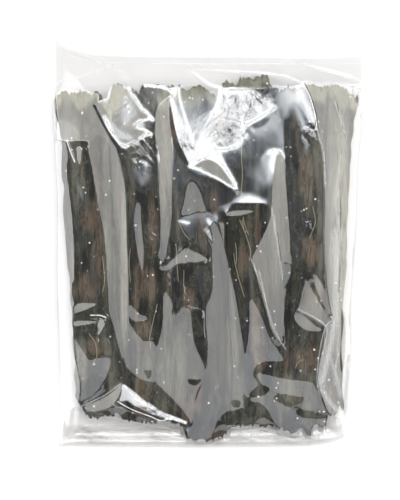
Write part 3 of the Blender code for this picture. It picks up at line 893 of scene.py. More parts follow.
def paneSlopes(x, y, pile):
    # the slope the film takes across and along the sheet, and how firmly it holds there
    endwise = np.gradient(softened(pile, np.ones(x.shape, bool), film["pileSoften"]), axis=0)
    lean = np.interp(x, *np.array(leans, float).T)
    across = -np.tan(np.radians(lean + reached(y, film["topLeanRun"]) * film["topLean"]))
    up = endwise / (bag["length"] / film["rows"])
    firm = np.full(x.shape, film["between"])
    for group, hold in ((openPanes, film["openHold"]), (panes, 1)):
        for (right, top, *turn), soft, outline in group.values():
            inside, off = nearOutline(x, y, outline)
            share = smoothStep(0.5 + np.where(inside, off, -off) / soft)
            middle = (min(q for p, q in outline) + max(q for p, q in outline)) / 2
            ahead = top + (turn[0] * (y - middle) / 10 if turn else 0)
            across = across + share * (-math.tan(math.radians(right)) - across)
            up = up + share * (-np.tan(np.radians(ahead)) - up)
            firm = firm + share * (hold - firm)
    sideSway, endSway = ((math.tan(math.radians(tilt)), *size) for tilt, *size in film["sway"])
    across = across + sideSway[0] * noise(x, y, *sideSway[1:], 471)
    up = up + endSway[0] * noise(x, y, *endSway[1:], 472)
    for (right, top), wide, line in strokes:
        share = np.exp(-((distanceToLine(x, y, line)[0] / wide) ** 2))
        across = across + share * (-math.tan(math.radians(right)) - across)
        up = up + share * (-math.tan(math.radians(top)) - up)
        firm = firm + share * (1 - firm)
    return across, up, firm


def drape(pile, across, up, firm, free):
    # the height whose slopes are nearest to those given, held near the pile over long distances
    step = bag["length"] / film["rows"]
    hold = (step / film["follow"]) ** 2
    sides, ends = np.minimum(firm[:, 1:], firm[:, :-1]), np.minimum(firm[1:], firm[:-1])
    sideRise = sides * (across[:, 1:] + across[:, :-1]) * step / 2
    endRise = ends * (up[1:] + up[:-1]) * step / 2
    pull = hold * pile
    pull[:, 1:] += sideRise
    pull[:, :-1] -= sideRise
    pull[1:] += endRise
    pull[:-1] -= endRise
    weight = np.full_like(pile, hold)
    weight[:, 1:] += sides
    weight[:, :-1] += sides
    weight[1:] += ends
    weight[:-1] += ends
    squares = checkered(free)
    height = pile.copy()
    for _ in range(film["rounds"]):
        for square in squares:
            total = pull.copy()
            total[:, 1:] += sides * height[:, :-1]
            total[:, :-1] += sides * height[:, 1:]
            total[1:] += ends * height[:-1]
            total[:-1] += ends * height[1:]
            height = np.where(square, height + film["overRelax"] * (total / weight - height), height)
    return height


def slopes(x, y, height):
    across = np.gradient(height, axis=1) / np.gradient(x, axis=1)
    return across, (np.gradient(height, axis=0) - across * np.gradient(x, axis=0)) / np.gradient(y, axis=0)


def spotShare(x, y, centre, radius):
    # 1 at the centre of a round spot, falling off with the distance
    return np.exp(-((x - centre[0]) ** 2 + (y - centre[1]) ** 2) / radius**2)


def creased(x, y, height, edge):
    ends = film["creaseEnds"]
    for line, lift, wide in creases:
        off, place = distanceToLine(x, y, line)
        profile = ends + (1 - ends) * np.sin(math.pi * place)
        height = height + edge * lift * profile * np.exp(-((off / wide) ** 2))
    return height


def crumpled(x, y, height):
    # coarse and fine facets in each crumpled spot, on axes turned away from the film's own grid
    (coarseX, coarseY, coarseSeed), (fineX, fineY, fineSeed) = film["facets"]
    tx, ty = 0.8 * x + 0.6 * y, 0.8 * y - 0.6 * x
    for k, (centre, radius, rough) in enumerate(crumples):
        facets = np.abs(noise(tx, ty, radius * coarseX, radius * coarseY, coarseSeed + k))
        facets = facets + 0.5 * np.abs(noise(ty, tx, radius * fineX, radius * fineY, fineSeed + k))
        height = height + spotShare(x, y, centre, radius) * rough * (0.5 - facets)
    return height


def filmHeight(x, y, strips):
    # the film's height at each grid point, and by how much its shading normals lean
    weld = weldHeight(y) + bag["weldGap"]
    fromEdge = inset(x, y)
    free = np.ones(x.shape, bool)
    free[[0, -1], :] = False
    free[:, [0, -1]] = False
    # the pile: a skin drawn tight over the kelp
    floor = np.maximum(kelpTop(strips, x.shape) + film["standOff"], weld - film["weldDrop"])
    floor = np.where(fromEdge < film["weldReach"], np.minimum(floor, weld + fromEdge), floor)
    start = np.where(free, np.maximum(floor, weld), weld)
    pile = relax(start, np.where(free, floor, -1), free)
    # the film with its panes, and how much steeper they are than it can follow
    across, up, firm = paneSlopes(x, y, pile)
    height = softened(drape(pile, across, up, firm, free), free, film["soften"])
    held = film["lean"] * smoothStep(fromEdge / film["leanEdge"])
    held = held * smoothStep((firm - film["between"]) / film["leanFirm"])
    limit = film["leanLimit"]
    lean = [np.clip(held * (want - got), -limit, limit)
            for want, got in zip((across, up), slopes(x, y, height))]
    edge = smoothStep(fromEdge / film["edgeWidth"])
    height = crumpled(x, y, creased(x, y, height, edge))
    ripple = sum(share * noise(x, y, *size, 401 + k) for k, (share, *size) in enumerate(film["ripples"]))
    height = height + film["ripple"] * ripple * edge
    return np.where(free, np.maximum(height, backHeight(x, y) + film["backClearance"]), weld), lean


def filmAt(height, x, y):
    # height of the film over any point of the sheet
    i, j = gridPlace(np.asarray(x, float), np.asarray(y, float))
    i, j = np.clip(i, 0, height.shape[1] - 1.001), np.clip(j, 0, height.shape[0] - 1.001)
    i0, j0 = i.astype(int), j.astype(int)
    fi, fj = i - i0, j - j0
    low = height[j0, i0] * (1 - fi) + height[j0, i0 + 1] * fi
    high = height[j0 + 1, i0] * (1 - fi) + height[j0 + 1, i0 + 1] * fi
    return low * (1 - fj) + high * fj


def filmPaint(x, y):
    # where the film is crumpled, and where it is painted white along creases and milky folds: partly crease
    # whitening, partly a painted highlight
    wrinkled, whitened = np.full(x.shape, film["plainCrumple"]), np.zeros(x.shape)
    for centre, radius, rough in crumples:
        wrinkled = wrinkled + rough * film["crumpleGain"] * spotShare(x, y, centre, radius)
    lines = [(line, film["creasePaint"], film["creaseWhiteAndHighlight"]) for line, lift, wide in creases]
    for line, wide, white in lines + milkyHighlight:
        off = distanceToLine(x, y, line)[0]
        whitened = np.maximum(whitened, white * np.exp(-((off / wide) ** 2)))
    return wrinkled, whitened


def underFilm(strips, height):
    # the kelp gives way where the film presses on it
    press = film["press"]
    for strip in strips.values():
        p = strip["points"]
        i, j = gridPlace(p[..., 0], p[..., 1])
        i0 = np.clip(np.floor(i).astype(int), 0, height.shape[1] - 2)
        j0 = np.clip(np.floor(j).astype(int), 0, height.shape[0] - 2)
        corners = height[j0, i0], height[j0, i0 + 1], height[j0 + 1, i0], height[j0 + 1, i0 + 1]
        roof = np.minimum.reduce(corners) - film["standOff"]
        lift = np.clip(1 - p[..., 2] / film["liftFade"], 0, 1)
        lifted = p[..., 2] + backHeight(p[..., 0], p[..., 1]) * lift
        over = lifted - (roof - press)
        p[..., 2] = np.where(over > 0, roof - press**2 / (np.maximum(over, 0) + press), lifted)


def makeAll():
    strips = allStrips()
    x, y = filmGrid()
    height, lean = filmHeight(x, y, strips)
    underFilm(strips, height)
    return strips, x, y, height, lean


# Where the sheet lies in the CAD frame: the film's lowest corner in plan is the CAD box's.
sheetX, sheetY = filmGrid()
shift = np.array([cadLow[0] / mm - sheetX.min(), cadLow[1] / mm - sheetY.min(), 0])


def toFrame(points):
    return (np.asarray(points, float).reshape(-1, 3) + shift) * mm


def meshPiece(name, points, faces, material):
    mesh = bpy.data.meshes.new(name)
    mesh.from_pydata(toFrame(points).tolist(), [], faces)
    mesh.shade_smooth()
    mesh.materials.append(material)
    piece = bpy.data.objects.new(name, mesh)
    bpy.context.scene.collection.objects.link(piece)
    return finished(piece)


def finished(piece):
    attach(piece, "root")
    return piece


class Socket:
    # an output of a shader node; sums on it add Math nodes
    def __init__(self, shader, link):
        self.shader = shader
        self.link = link

    def math(self, operation, first, second):
        return self.shader.node("ShaderNodeMath", {"operation": operation}, {0: first, 1: second})

    def __add__(self, other):
        return self.math("ADD", self, other)

    def __radd__(self, other):
        return self.math("ADD", other, self)

    def __sub__(self, other):
        return self.math("SUBTRACT", self, other)

    def __rsub__(self, other):
        return self.math("SUBTRACT", other, self)

    def __mul__(self, other):
        return self.math("MULTIPLY", self, other)

    def __rmul__(self, other):
        return self.math("MULTIPLY", other, self)

    def __pow__(self, other):
        return self.math("POWER", self, other)

    def __abs__(self):
        return self.math("ABSOLUTE", self, 0)


class Shader:
    # the nodes of one material or one light
    def __init__(self, owner):
        self.owner = owner
        owner.use_nodes = True
        self.tree = owner.node_tree
        self.tree.nodes.clear()

    def node(self, kind, settings, inputs, output=0):
        made = self.tree.nodes.new(kind)
        for name, value in settings.items():
            if name == "stops":
                ramp = made.color_ramp.elements
                ramp[0].position, ramp[0].color = value[0]
                ramp[1].position, ramp[1].color = value[-1]
                for place, colour in value[1:-1]:
                    ramp.new(place).color = colour
            else:
                setattr(made, name, value)
        for name, value in inputs.items():
            if isinstance(value, Socket):
                self.tree.links.new(value.link, made.inputs[name])
            else:
                made.inputs[name].default_value = value
        return Socket(self, made.outputs[output]) if made.outputs else None

    def texture(self, stretch, detail, roughness=0.5):
        # cloudy noise on the object's own coordinates, stretched by three factors
        place = self.node("ShaderNodeTexCoord", {}, {}, "Object")
        place = self.node("ShaderNodeMapping", {}, {"Vector": place, "Scale": stretch})
        return self.clouds(place, 1.0, detail, roughness)

    def clouds(self, place, scale, detail, roughness=0.5):
        facts = {"Vector": place, "Scale": scale, "Detail": detail, "Roughness": roughness}
        return self.node("ShaderNodeTexNoise", {}, facts, "Fac")

    def painted(self, name):
        # a value that was painted on the mesh's points
        return self.node("ShaderNodeAttribute", {"attribute_name": name}, {}, "Fac")

    def between(self, value, low, high, settings=None, more=None):
        # 0 below low, 1 above high, smooth between
        settings = settings or {"interpolation_type": "SMOOTHSTEP"}
        facts = {"Value": value, "From Min": low, "From Max": high, **(more or {})}
        return self.node("ShaderNodeMapRange", settings, facts)

    def mix(self, factor, first, second):
        return self.node("ShaderNodeMix", {"data_type": "RGBA"}, {"Factor": factor, 6: first, 7: second}, 2)

    def mixSurfaces(self, factor, first, second):
        return self.node("ShaderNodeMixShader", {}, {0: factor, 1: first, 2: second})

    def bump(self, strength, relief):
        return self.node("ShaderNodeBump", {}, {"Strength": strength, "Distance": mm, "Height": relief})

    def seeThrough(self, colour):
        return self.node("ShaderNodeBsdfTransparent", {}, {"Color": colour})

    def gloss(self, roughness, **more):
        facts = {"Color": (1, 1, 1, 1), "Roughness": roughness, **more}
        return self.node("ShaderNodeBsdfAnisotropic", {}, facts)

    def solid(self, colour, roughness, **more):
        facts = {"Base Color": colour, "Roughness": roughness, **more}
        return self.node("ShaderNodeBsdfPrincipled", {}, facts)

    def finish(self, surface, kind="ShaderNodeOutputMaterial"):
        self.node(kind, {}, {"Surface": surface})
        return self.owner


def newShader(name):
    return Shader(bpy.data.materials.new(name))


filmLook = {
    "clear": (0.977, 0.973, 0.969, 1),
    "layeredAndShaded": (0.62, 0.62, 0.615, 1),  # where several layers meet in the hem; the grey is partly those layers and partly painted shade
    "layering": (0.14, 0.46),  # how grey the hem is at least, and how much more in its wrinkles; this grey is partly painted shade
    "hemGloss": (0.03, 0.12),  # share reflected and roughness
    "headOn": 0.085,           # share reflected straight on, both faces of the film together
    "roughness": 0.035,
    "waves": ((260, 14, 260), 3),  # a texture's fineness in three directions, detail and roughness
    "wrinkles": ((520, 360, 520), 4, 0.6),
    "hemWrinkles": ((60, 300, 60), 4, 0.6),
    "milkyGrain": ((600, 60, 600), 2),
    "hemWrinkled": (0.3, 0.65),  # a texture's values where its effect begins and is full
    "milkyGrained": (0.2, 0.6),
    "streakHeight": 0.02,      # of the long fine waves, in mm
    "wrinkleHeight": 0.5,      # of the fine wrinkles where the film is crumpled, in mm
    # the milky white of creases and folds, partly whitening and partly a painted highlight
    "whitened": (0.9, 0.9, 0.9, 1),
    "whitenedRoughness": 0.25,
}


def whitenedFilm(name, share):
    # film that is milky all over, as it is along a sharp fold; its white is partly whitening and partly a
    # painted highlight
    s = newShader(name)
    milkyHighlight = s.solid(filmLook["whitened"], filmLook["whitenedRoughness"])
    grain = s.between(s.texture(*filmLook["milkyGrain"]), *filmLook["milkyGrained"])
    return s.finish(s.mixSurfaces(share * grain, s.seeThrough(filmLook["clear"]), milkyHighlight))


def hemMaterial():
    # film tucked over itself: clear in places, greyer where several layers meet and in its slanting folds,
    # partly from the layers and partly as painted shade, with a faint gloss
    s = newShader("foldedOver")
    (least, more), (shine, roughness) = filmLook["layering"], filmLook["hemGloss"]
    wrinkles = s.between(s.texture(*filmLook["hemWrinkles"]), *filmLook["hemWrinkled"])
    clear, grey = s.seeThrough(filmLook["clear"]), s.seeThrough(filmLook["layeredAndShaded"])
    layers = s.mixSurfaces(s.painted("layers") * (least + more * wrinkles), clear, grey)
    return s.finish(s.mixSurfaces(shine, layers, s.gloss(roughness)))


def filmMaterial():
    s = newShader("clearFilm")
    waves, wrinkles = s.texture(*filmLook["waves"]), s.texture(*filmLook["wrinkles"])
    relief = waves * filmLook["streakHeight"] + s.painted("crumpled") * wrinkles * filmLook["wrinkleHeight"]
    facing = s.node("ShaderNodeLayerWeight", {}, {"Blend": 0.5}, "Facing")
    reflected = filmLook["headOn"] + (1 - filmLook["headOn"]) * facing**5
    gloss = s.gloss(filmLook["roughness"], Normal=s.bump(1.0, relief))
    skin = s.mixSurfaces(reflected, s.seeThrough(filmLook["clear"]), gloss)
    # milky white where it is painted along creases and folds: partly crease whitening, partly a painted
    # highlight
    milkyHighlight = s.node("ShaderNodeBsdfDiffuse", {}, {"Color": filmLook["whitened"]})
    return s.finish(s.mixSurfaces(s.painted("whitened"), skin, milkyHighlight))


kelpLook = {
    # the black of the painted shade in the hollows and grooves
    "paintedShadeBlack": (0.005, 0.0055, 0.005, 1),
    "dark": (0.009, 0.009, 0.008, 1),
    "olive": (0.036, 0.036, 0.025, 1),
    "brown": (0.112, 0.075, 0.050, 1),
    "pale": (0.300, 0.287, 0.222, 1),
    "thin": (0.270, 0.262, 0.195, 1),
    "roughness": (0.28, 0.60),
    "shine": 0.10,
    "reliefStrength": 0.9,
    "relief": (0.9, 0.3, 0.35, 0.25, 0.2),  # of creases, streaks, crackle, the grooves painted as shade and the pale lines partly painted as highlight
    "mottle": ((170, 60, 170), 4, 0.55),    # a texture's fineness in three directions, detail and roughness
    "streaks": ((400, 45, 400), 4, 0.5),
    "creases": ((270, 30, 270), 5, 0.62),
    "crackle": ((620, 480, 620), 4, 0.7),
    # dark lines: grooves in the relief, painted black as shade
    "shadedGrooveLine": (0.004, 0.030),    # how far from a texture's mean a line is full and has ended
    # pale lines: raised in the relief, partly pale fibre and partly a painted highlight
    "paleHighlitLine": (0.010, 0.050),
    "oliveFrom": (0.62, 0.92),    # a texture's values where a colour begins and is full
    "rustFrom": (1.15, 1.8),
    # the hollows of the crease texture are painted black: painted shade
    "shadedHollowFrom": (0.44, 0.34),
    "thinFrom": (0.35, 1.0),
    "roughFrom": (0.45, 0.8),
    "rust": (0.62, 0.36),          # share of a colour: the least, and how much more in the streaks
    "bands": (0.3, 1.3),
    "bleach": (0.3, 1.2),
    # shares of the painted shade in the hollows and the grooves, and of the pale lines, which are partly a
    # painted highlight
    "shadedHollowShare": 0.7,
    "shadedGrooveShare": 0.6,
    "paleHighlitShare": 0.42,
}


def kelpMaterial():
    s = newShader("driedKelp")
    textures = (s.texture(*kelpLook[name]) for name in ("mottle", "streaks", "creases", "crackle"))
    mottle, streaks, creases, crackle = textures

    def streaky(name):
        least, more = kelpLook[name]
        return least + more * streaks

    # thin dark grooves, sunk in the relief and painted black: painted shade
    shadedGrooves = 1 - s.between(abs(creases - 0.5), *kelpLook["shadedGrooveLine"])
    # thin pale lines, raised in the relief and painted pale: partly pale fibre, partly a painted highlight on
    # their ridges
    paleHighlitLines = 1 - s.between(abs(mottle - 0.52) + abs(crackle - 0.5), *kelpLook["paleHighlitLine"])
    rusty = s.between(s.painted("brown") + 1.2 * mottle + 0.6 * streaks, *kelpLook["rustFrom"])
    # black and olive underneath, then rust, painted shade in the crease hollows, pale bands, painted shade in
    # the grooves, pale lines that are partly a painted highlight, and the bleached thin parts
    olive = s.between(mottle + 0.5 * streaks, *kelpLook["oliveFrom"])
    colour = s.mix(olive, kelpLook["dark"], kelpLook["olive"])
    layers = (
        (rusty * streaky("rust"), "brown"),
        # painted shade: the hollows of the crease texture made black
        (s.between(creases, *kelpLook["shadedHollowFrom"]) * kelpLook["shadedHollowShare"], "paintedShadeBlack"),
        (s.painted("pale") * streaky("bands"), "pale"),
        # painted shade: the grooves made black
        (shadedGrooves * kelpLook["shadedGrooveShare"], "paintedShadeBlack"),
        # pale lines, partly pale fibre and partly a painted highlight on their ridges
        (paleHighlitLines * kelpLook["paleHighlitShare"], "pale"),
        (s.between(s.painted("thin"), *kelpLook["thinFrom"]) * streaky("bleach"), "thin"),
    )
    for share, name in layers:
        colour = s.mix(share, colour, kelpLook[name])
    low, high = kelpLook["roughness"]
    rough = low + (high - low) * s.between(mottle + 0.3 * crackle, *kelpLook["roughFrom"])
    crease, streak, crack, dark, pale = kelpLook["relief"]
    relief = creases * crease + streaks * streak + crackle * crack - shadedGrooves * dark + paleHighlitLines * pale
    more = {"Normal": s.bump(kelpLook["reliefStrength"], relief), "Specular IOR Level": kelpLook["shine"]}
    return s.finish(s.solid(colour, rough, **more))


saltLook = {"shades": ((0.70, 0.68, 0.62, 1), (0.86, 0.85, 0.80, 1)), "roughness": 0.5, "grain": 900}


def grainyMaterial(name, fineness, first, second, roughness):
    # a plain finish that wavers between two colours
    s = newShader(name)
    colour = s.mix(s.texture((fineness, fineness, fineness), 2), first, second)
    return s.finish(s.solid(colour, roughness))


def gridFaces(rows, columns, wrap=False):
    index = np.arange(rows * columns).reshape(rows, columns)
    after = np.roll(index, -1, 1)
    if not wrap:
        index, after = index[:, :-1], after[:, :-1]
    return np.stack([index[:-1], after[:-1], after[1:], index[1:]], -1).reshape(-1, 4)


def rim(rows, columns):
    # the points round the edge of a grid, as column and row
    ring = [(i, 0) for i in range(columns)] + [(columns - 1, j) for j in range(1, rows)]
    ring += [(i, rows - 1) for i in range(columns - 2, -1, -1)]
    return ring + [(0, j) for j in range(rows - 2, 0, -1)]


def stripPiece(name, strip, material):
    rows, around = strip["points"].shape[:2]
    faces = gridFaces(rows, around, wrap=True).tolist()
    half = around // 2
    for row, flip in ((0, False), (rows - 1, True)):
        for k in range(half - 1):
            a, b = row * around + k, row * around + k + 1
            c, d = row * around + around - 2 - k, row * around + around - 1 - k
            faces.append([a, d, c, b] if not flip else [b, c, d, a])
    end = strip["points"][0, :, ::2]
    if np.sum(np.cross(end[:-1], end[1:])) <= 0:
        faces = [face[::-1] for face in faces]
    piece = meshPiece(name + "Strip", strip["points"], faces, material)
    for label, value in strip["paint"].items():
        paintOn(piece, label, value)
    return piece


def paintOn(piece, label, value):
    layer = piece.data.attributes.new(label, "FLOAT", "POINT")
    layer.data.foreach_set("value", np.asarray(value, np.float32).ravel())


def filmPiece(x, y, height, lean, material):
    rows, columns = x.shape
    stride = film["backStride"]
    points = np.stack([x, y, height], -1).reshape(-1, 3).tolist()
    faces = gridFaces(rows, columns).tolist()
    edge = rim(rows, columns)
    inner = [(i, j) for j in range(stride, rows - 1, stride) for i in range(stride, columns - 1, stride)]
    back = {}
    under = backHeight(x, y)
    for i, j in edge + inner:
        back[i, j] = len(points)
        points.append((x[j, i], y[j, i], min(under[j, i], height[j, i] - bag["weldGap"])))
    for (i, j), (m, n) in zip(edge, edge[1:] + edge[:1]):
        faces.append([back[i, j], back[m, n], n * columns + m, j * columns + i])
    for j in range(0, rows - 1, stride):
        for i in range(0, columns - 1, stride):
            # a large cell, with every edge point of the front along the rim
            cell = [(i + m, j + n) for m, n in rim(stride + 1, stride + 1)]
            faces.append([back[place] for place in reversed(cell) if place in back])
    piece = meshPiece("filmBag", points, faces, material)
    piece.data.set_sharp_from_angle(angle=math.radians(film["sharpAngle"]))
    across, up = slopes(x, y, height)
    normals = np.stack([-across - lean[0], -up - lean[1], np.ones(x.shape)], -1)
    normals /= np.linalg.norm(normals, axis=-1, keepdims=True)
    normals[[0, -1]] = 0
    normals[:, [0, -1]] = 0
    normals = np.vstack([normals.reshape(-1, 3), np.zeros((len(points) - x.size, 3))])
    piece.data.normals_split_custom_set_from_vertices(normals.tolist())
    # paint the crumpling, and the white along creases and milky folds that is partly whitening and partly a
    # painted highlight
    wrinkled, whitened = filmPaint(x, y)
    rest = np.zeros(len(points) - x.size)
    paintOn(piece, "crumpled", np.concatenate([wrinkled.ravel(), rest]))
    paintOn(piece, "whitened", np.concatenate([whitened.ravel(), rest]))
    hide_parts("sealed_bag")
    return piece


# Salt on the kelp: small flattened grains scattered by a Geometry Nodes tree
salt = {"density": 4200, "smallest": 0.25, "largest": 0.75, "flatness": 0.5, "leastUpward": 0.35, "seed": 5}


def nodeTree(name, inputs):
    tree = bpy.data.node_groups.new(name, "GeometryNodeTree")
    for way in ("INPUT", "OUTPUT"):
        tree.interface.new_socket("Geometry", in_out=way, socket_type="NodeSocketGeometry")
    for label, kind in inputs.items():
        tree.interface.new_socket(label, in_out="INPUT", socket_type="NodeSocket" + kind)
    return tree, tree.nodes.new("NodeGroupInput").outputs


def treeNode(tree, kind, settings, inputs, output=0):
    made = tree.nodes.new(kind)
    for name, value in settings.items():
        setattr(made, name, value)
    for name, value in inputs.items():
        if isinstance(value, bpy.types.NodeSocket):
            tree.links.new(value, made.inputs[name])
        else:
            made.inputs[name].default_value = value
    return made.outputs[output]


def finishTree(tree, shape, material):
    real = treeNode(tree, "GeometryNodeRealizeInstances", {}, {"Geometry": shape})
    covered = treeNode(tree, "GeometryNodeSetMaterial", {}, {"Geometry": real, "Material": material})
    tree.links.new(covered, tree.nodes.new("NodeGroupOutput").inputs[0])
    return tree


def withTree(name, mesh, tree, values):
    # runs a tree on a mesh and keeps its result as a plain mesh
    carrier = bpy.data.objects.new(name + "Carrier", mesh)
    bpy.context.scene.collection.objects.link(carrier)
    modifier = carrier.modifiers.new("nodes", "NODES")
    modifier.node_group = tree
    for socket in tree.interface.items_tree:
        if socket.in_out == "INPUT" and socket.name in values:
            modifier[socket.identifier] = values[socket.name]
    ready = carrier.evaluated_get(bpy.context.evaluated_depsgraph_get())
    piece = bpy.data.objects.new(name, bpy.data.meshes.new_from_object(ready))
    bpy.data.objects.remove(carrier)
    bpy.context.scene.collection.objects.link(piece)
    return finished(piece)


def saltTree():
    tree, given = nodeTree("saltTree", {
        "Density": "Float", "Smallest": "Float", "Largest": "Float", "Flatness": "Float",
        "Least upward": "Float", "Seed": "Int", "Material": "Material",
    })
    normal = treeNode(tree, "GeometryNodeInputNormal", {}, {})
    upward = treeNode(tree, "ShaderNodeSeparateXYZ", {}, {0: normal}, 2)
    comparison = {"data_type": "FLOAT", "operation": "GREATER_THAN"}
    upward = treeNode(tree, "FunctionNodeCompare", comparison, {0: upward, 1: given["Least upward"]})
    ground = {"Mesh": given["Geometry"], "Selection": upward}
    spread = {"Density": given["Density"], "Seed": given["Seed"]}
    places = treeNode(tree, "GeometryNodeDistributePointsOnFaces", {}, {**ground, **spread})
    turns = places.node.outputs["Rotation"]
    grain = treeNode(tree, "GeometryNodeMeshIcoSphere", {}, {"Radius": 1.0, "Subdivisions": 1})
    sizes = {2: given["Smallest"], 3: given["Largest"], "Seed": given["Seed"]}
    size = treeNode(tree, "FunctionNodeRandomValue", {"data_type": "FLOAT"}, sizes, 1)
    flat = treeNode(tree, "ShaderNodeMath", {"operation": "MULTIPLY"}, {0: size, 1: given["Flatness"]})
    scale = treeNode(tree, "ShaderNodeCombineXYZ", {}, {0: size, 1: size, 2: flat})
    facts = {"Points": places, "Instance": grain, "Rotation": turns, "Scale": scale}
    return finishTree(tree, treeNode(tree, "GeometryNodeInstanceOnPoints", {}, facts), given["Material"])


# Film that folded into fine ridges: along the outline where it is welded, across the header where
# it is sealed, and along every crease of the front
# The crease ridges are painted faintly milky, partly crease whitening and partly a painted highlight; the
# strokes that face the head lamp are painted strongly milky, a painted highlight
ridges = {
    "sides": 6,
    "step": 1.2,
    "weldRadius": 0.18,
    "sealRadius": 0.22,
    "sealInset": 5.5,
    "sealEnds": 3,         # from the bag's corners
    "sealPoints": 90,
    "creaseRadius": 0.2,
    "creaseSink": 0.05,    # of a ridge into the film
    "creaseWhiteAndHighlight": 0.25,
    "strokeRadius": 0.32,
    "strokeSink": 0.1,
    "strokeHighlightWhite": 0.85,
    "paintedHighlightTilt": 12,      # strokes that face the head lamp more than this get a painted highlight, a bright milky ridge
}


def ridgeTree():
    tree, given = nodeTree("ridgeTree", {"Radius": "Float", "Sides": "Int", "Material": "Material"})
    line = treeNode(tree, "GeometryNodeMeshToCurve", {}, {"Mesh": given["Geometry"]})
    facts = {"Resolution": given["Sides"], "Radius": given["Radius"]}
    ring = treeNode(tree, "GeometryNodeCurvePrimitiveCircle", {}, facts)
    facts = {"Curve": line, "Profile Curve": ring, "Fill Caps": True}
    tube = treeNode(tree, "GeometryNodeCurveToMesh", {}, facts)
    smooth = treeNode(tree, "GeometryNodeSetShadeSmooth", {}, {"Geometry": tube})
    return finishTree(tree, smooth, given["Material"])


def lineMesh(name, lines, closed=False):
    mesh = bpy.data.meshes.new(name)
    points, edges = [], []
    for line in lines:
        first, count = len(points), len(line)
        edges += [(first + k, first + k + 1) for k in range(count - 1)]
        edges += [(first + count - 1, first)] if closed else []
        points += list(line)
    mesh.from_pydata(toFrame(points).tolist(), edges, [])
    return mesh


def onFilm(height, line, sink):
    # a smooth line along the film, sunk a little into it
    length = sum(math.dist(a, b) for a, b in zip(line, line[1:]))
    path = throughPoints(line, max(4, int(length / ridges["step"])))
    return np.column_stack([path, filmAt(height, path[:, 0], path[:, 1]) - sink])


def ridgePieces(x, y, height, material):
    tree = ridgeTree()
    # the creased film is faintly milky, partly whitening and partly a painted highlight; the folded film is
    # strongly milky, a painted highlight
    faint = whitenedFilm("creasedFilm", ridges["creaseWhiteAndHighlight"])
    paintedHighlightFilm = whitenedFilm("foldedFilmHighlight", ridges["strokeHighlightWhite"])
    outline = [(x[j, i], y[j, i], height[j, i] - bag["weldGap"] / 2) for i, j in rim(*x.shape)]
    across = np.linspace(bag["leftEdge"][2] + ridges["sealEnds"], bag["rightEdge"][2] - ridges["sealEnds"],
                         ridges["sealPoints"])
    seal = [(place, topEdge(place) - ridges["sealInset"]) for place in across]
    folds = [onFilm(height, line, ridges["creaseSink"]) for line, lift, wide in creases]
    # painted highlight: the strokes that face the head lamp become bright milky ridges
    paintedHighlightFolds = [onFilm(height, line, ridges["strokeSink"]) for tilt, wide, line in strokes
                   if tilt[1] > ridges["paintedHighlightTilt"]]
    sets = {
        "weldRidge": ([outline], "weldRadius", material),
        "sealRidge": ([onFilm(height, seal, ridges["strokeSink"])], "sealRadius", material),
        "creaseRidges": (folds, "creaseRadius", faint),
        "brightRidges": (paintedHighlightFolds, "strokeRadius", paintedHighlightFilm),
    }
    for name, (lines, radius, shade) in sets.items():
        values = {"Radius": ridges[radius] * mm, "Sides": ridges["sides"], "Material": shade}
        withTree(name, lineMesh(name, lines, name == "weldRidge"), tree, values)


# Fine pale shreds that lie on the kelp
shreds = {
    "radius": 0.17,
    "sides": 5,
    "lift": 0.15,          # off the kelp
    "shades": ((0.300, 0.287, 0.222, 1), (0.50, 0.40, 0.23, 1)),
    "grain": 300,
    "roughness": 0.4,
}
shredLines = [
    [(21.5, 72.7), (21.2, 59.8), (21.7, 46.9), (20.8, 36.5)], [(21.5, 19.7), (22.8, 13.2)],
    [(19.9, 19.6), (23.7, 10.5), (26.8, -0.1), (26, -6.2)],
    [(16.2, -1.6), (17.7, -10.7), (21.5, -24.4), (23, -28.9)],
    [(32, -12.2), (35.1, -24.4), (38.1, -39.5), (41.9, -51.6)], [(-48.8, 1.4), (-49.7, -7.7), (-48.8, -19.8)],
    [(-31.8, -33.4), (-34.1, -42.5), (-37.1, -56.2)], [(-36.5, -56.2), (-36, -61)],
    [(-66.3, -3.2), (-65.1, -18.3), (-66.3, -25.9)], [(-15.1, -12.2), (-15.1, -22.8), (-13.6, -27.4)],
    [(-19.9, 3.2), (-19.6, -6.9), (-18.9, -15.8), (-18.6, -19.5)],
    [(-15.8, -21.4), (-14.2, -23.3), (-15.1, -27.1), (-14.5, -30.3)],
    [(-18.3, 18.3), (-15.1, 11.4), (-11.4, 7)], [(17.4, 5.1), (18, -3.1), (17.7, -8.2)],
    [(22.1, 21.5), (23.3, 15.8), (25.6, 10.1)], [(66, 28), (67.5, 18), (64, 8)],
    [(55, -74), (57, -70), (60, -68.5)], [(-75, -52), (-71, -58), (-70, -66), (-73, -72)],
]


def shredPiece(strips, shape):
    material = grainyMaterial("kelpShreds", shreds["grain"], *shreds["shades"], shreds["roughness"])
    ground = kelpTop(strips, shape)
    for _ in range(2):
        around = ground[:-2, 1:-1], ground[2:, 1:-1], ground[1:-1, :-2], ground[1:-1, 2:]
        ground[1:-1, 1:-1] = np.maximum.reduce([ground[1:-1, 1:-1], *around])
    values = {"Radius": shreds["radius"] * mm, "Sides": shreds["sides"], "Material": material}
    lines = [onFilm(ground, line, -shreds["lift"]) for line in shredLines]
    return withTree("kelpShreds", lineMesh("shredLines", lines), ridgeTree(), values)


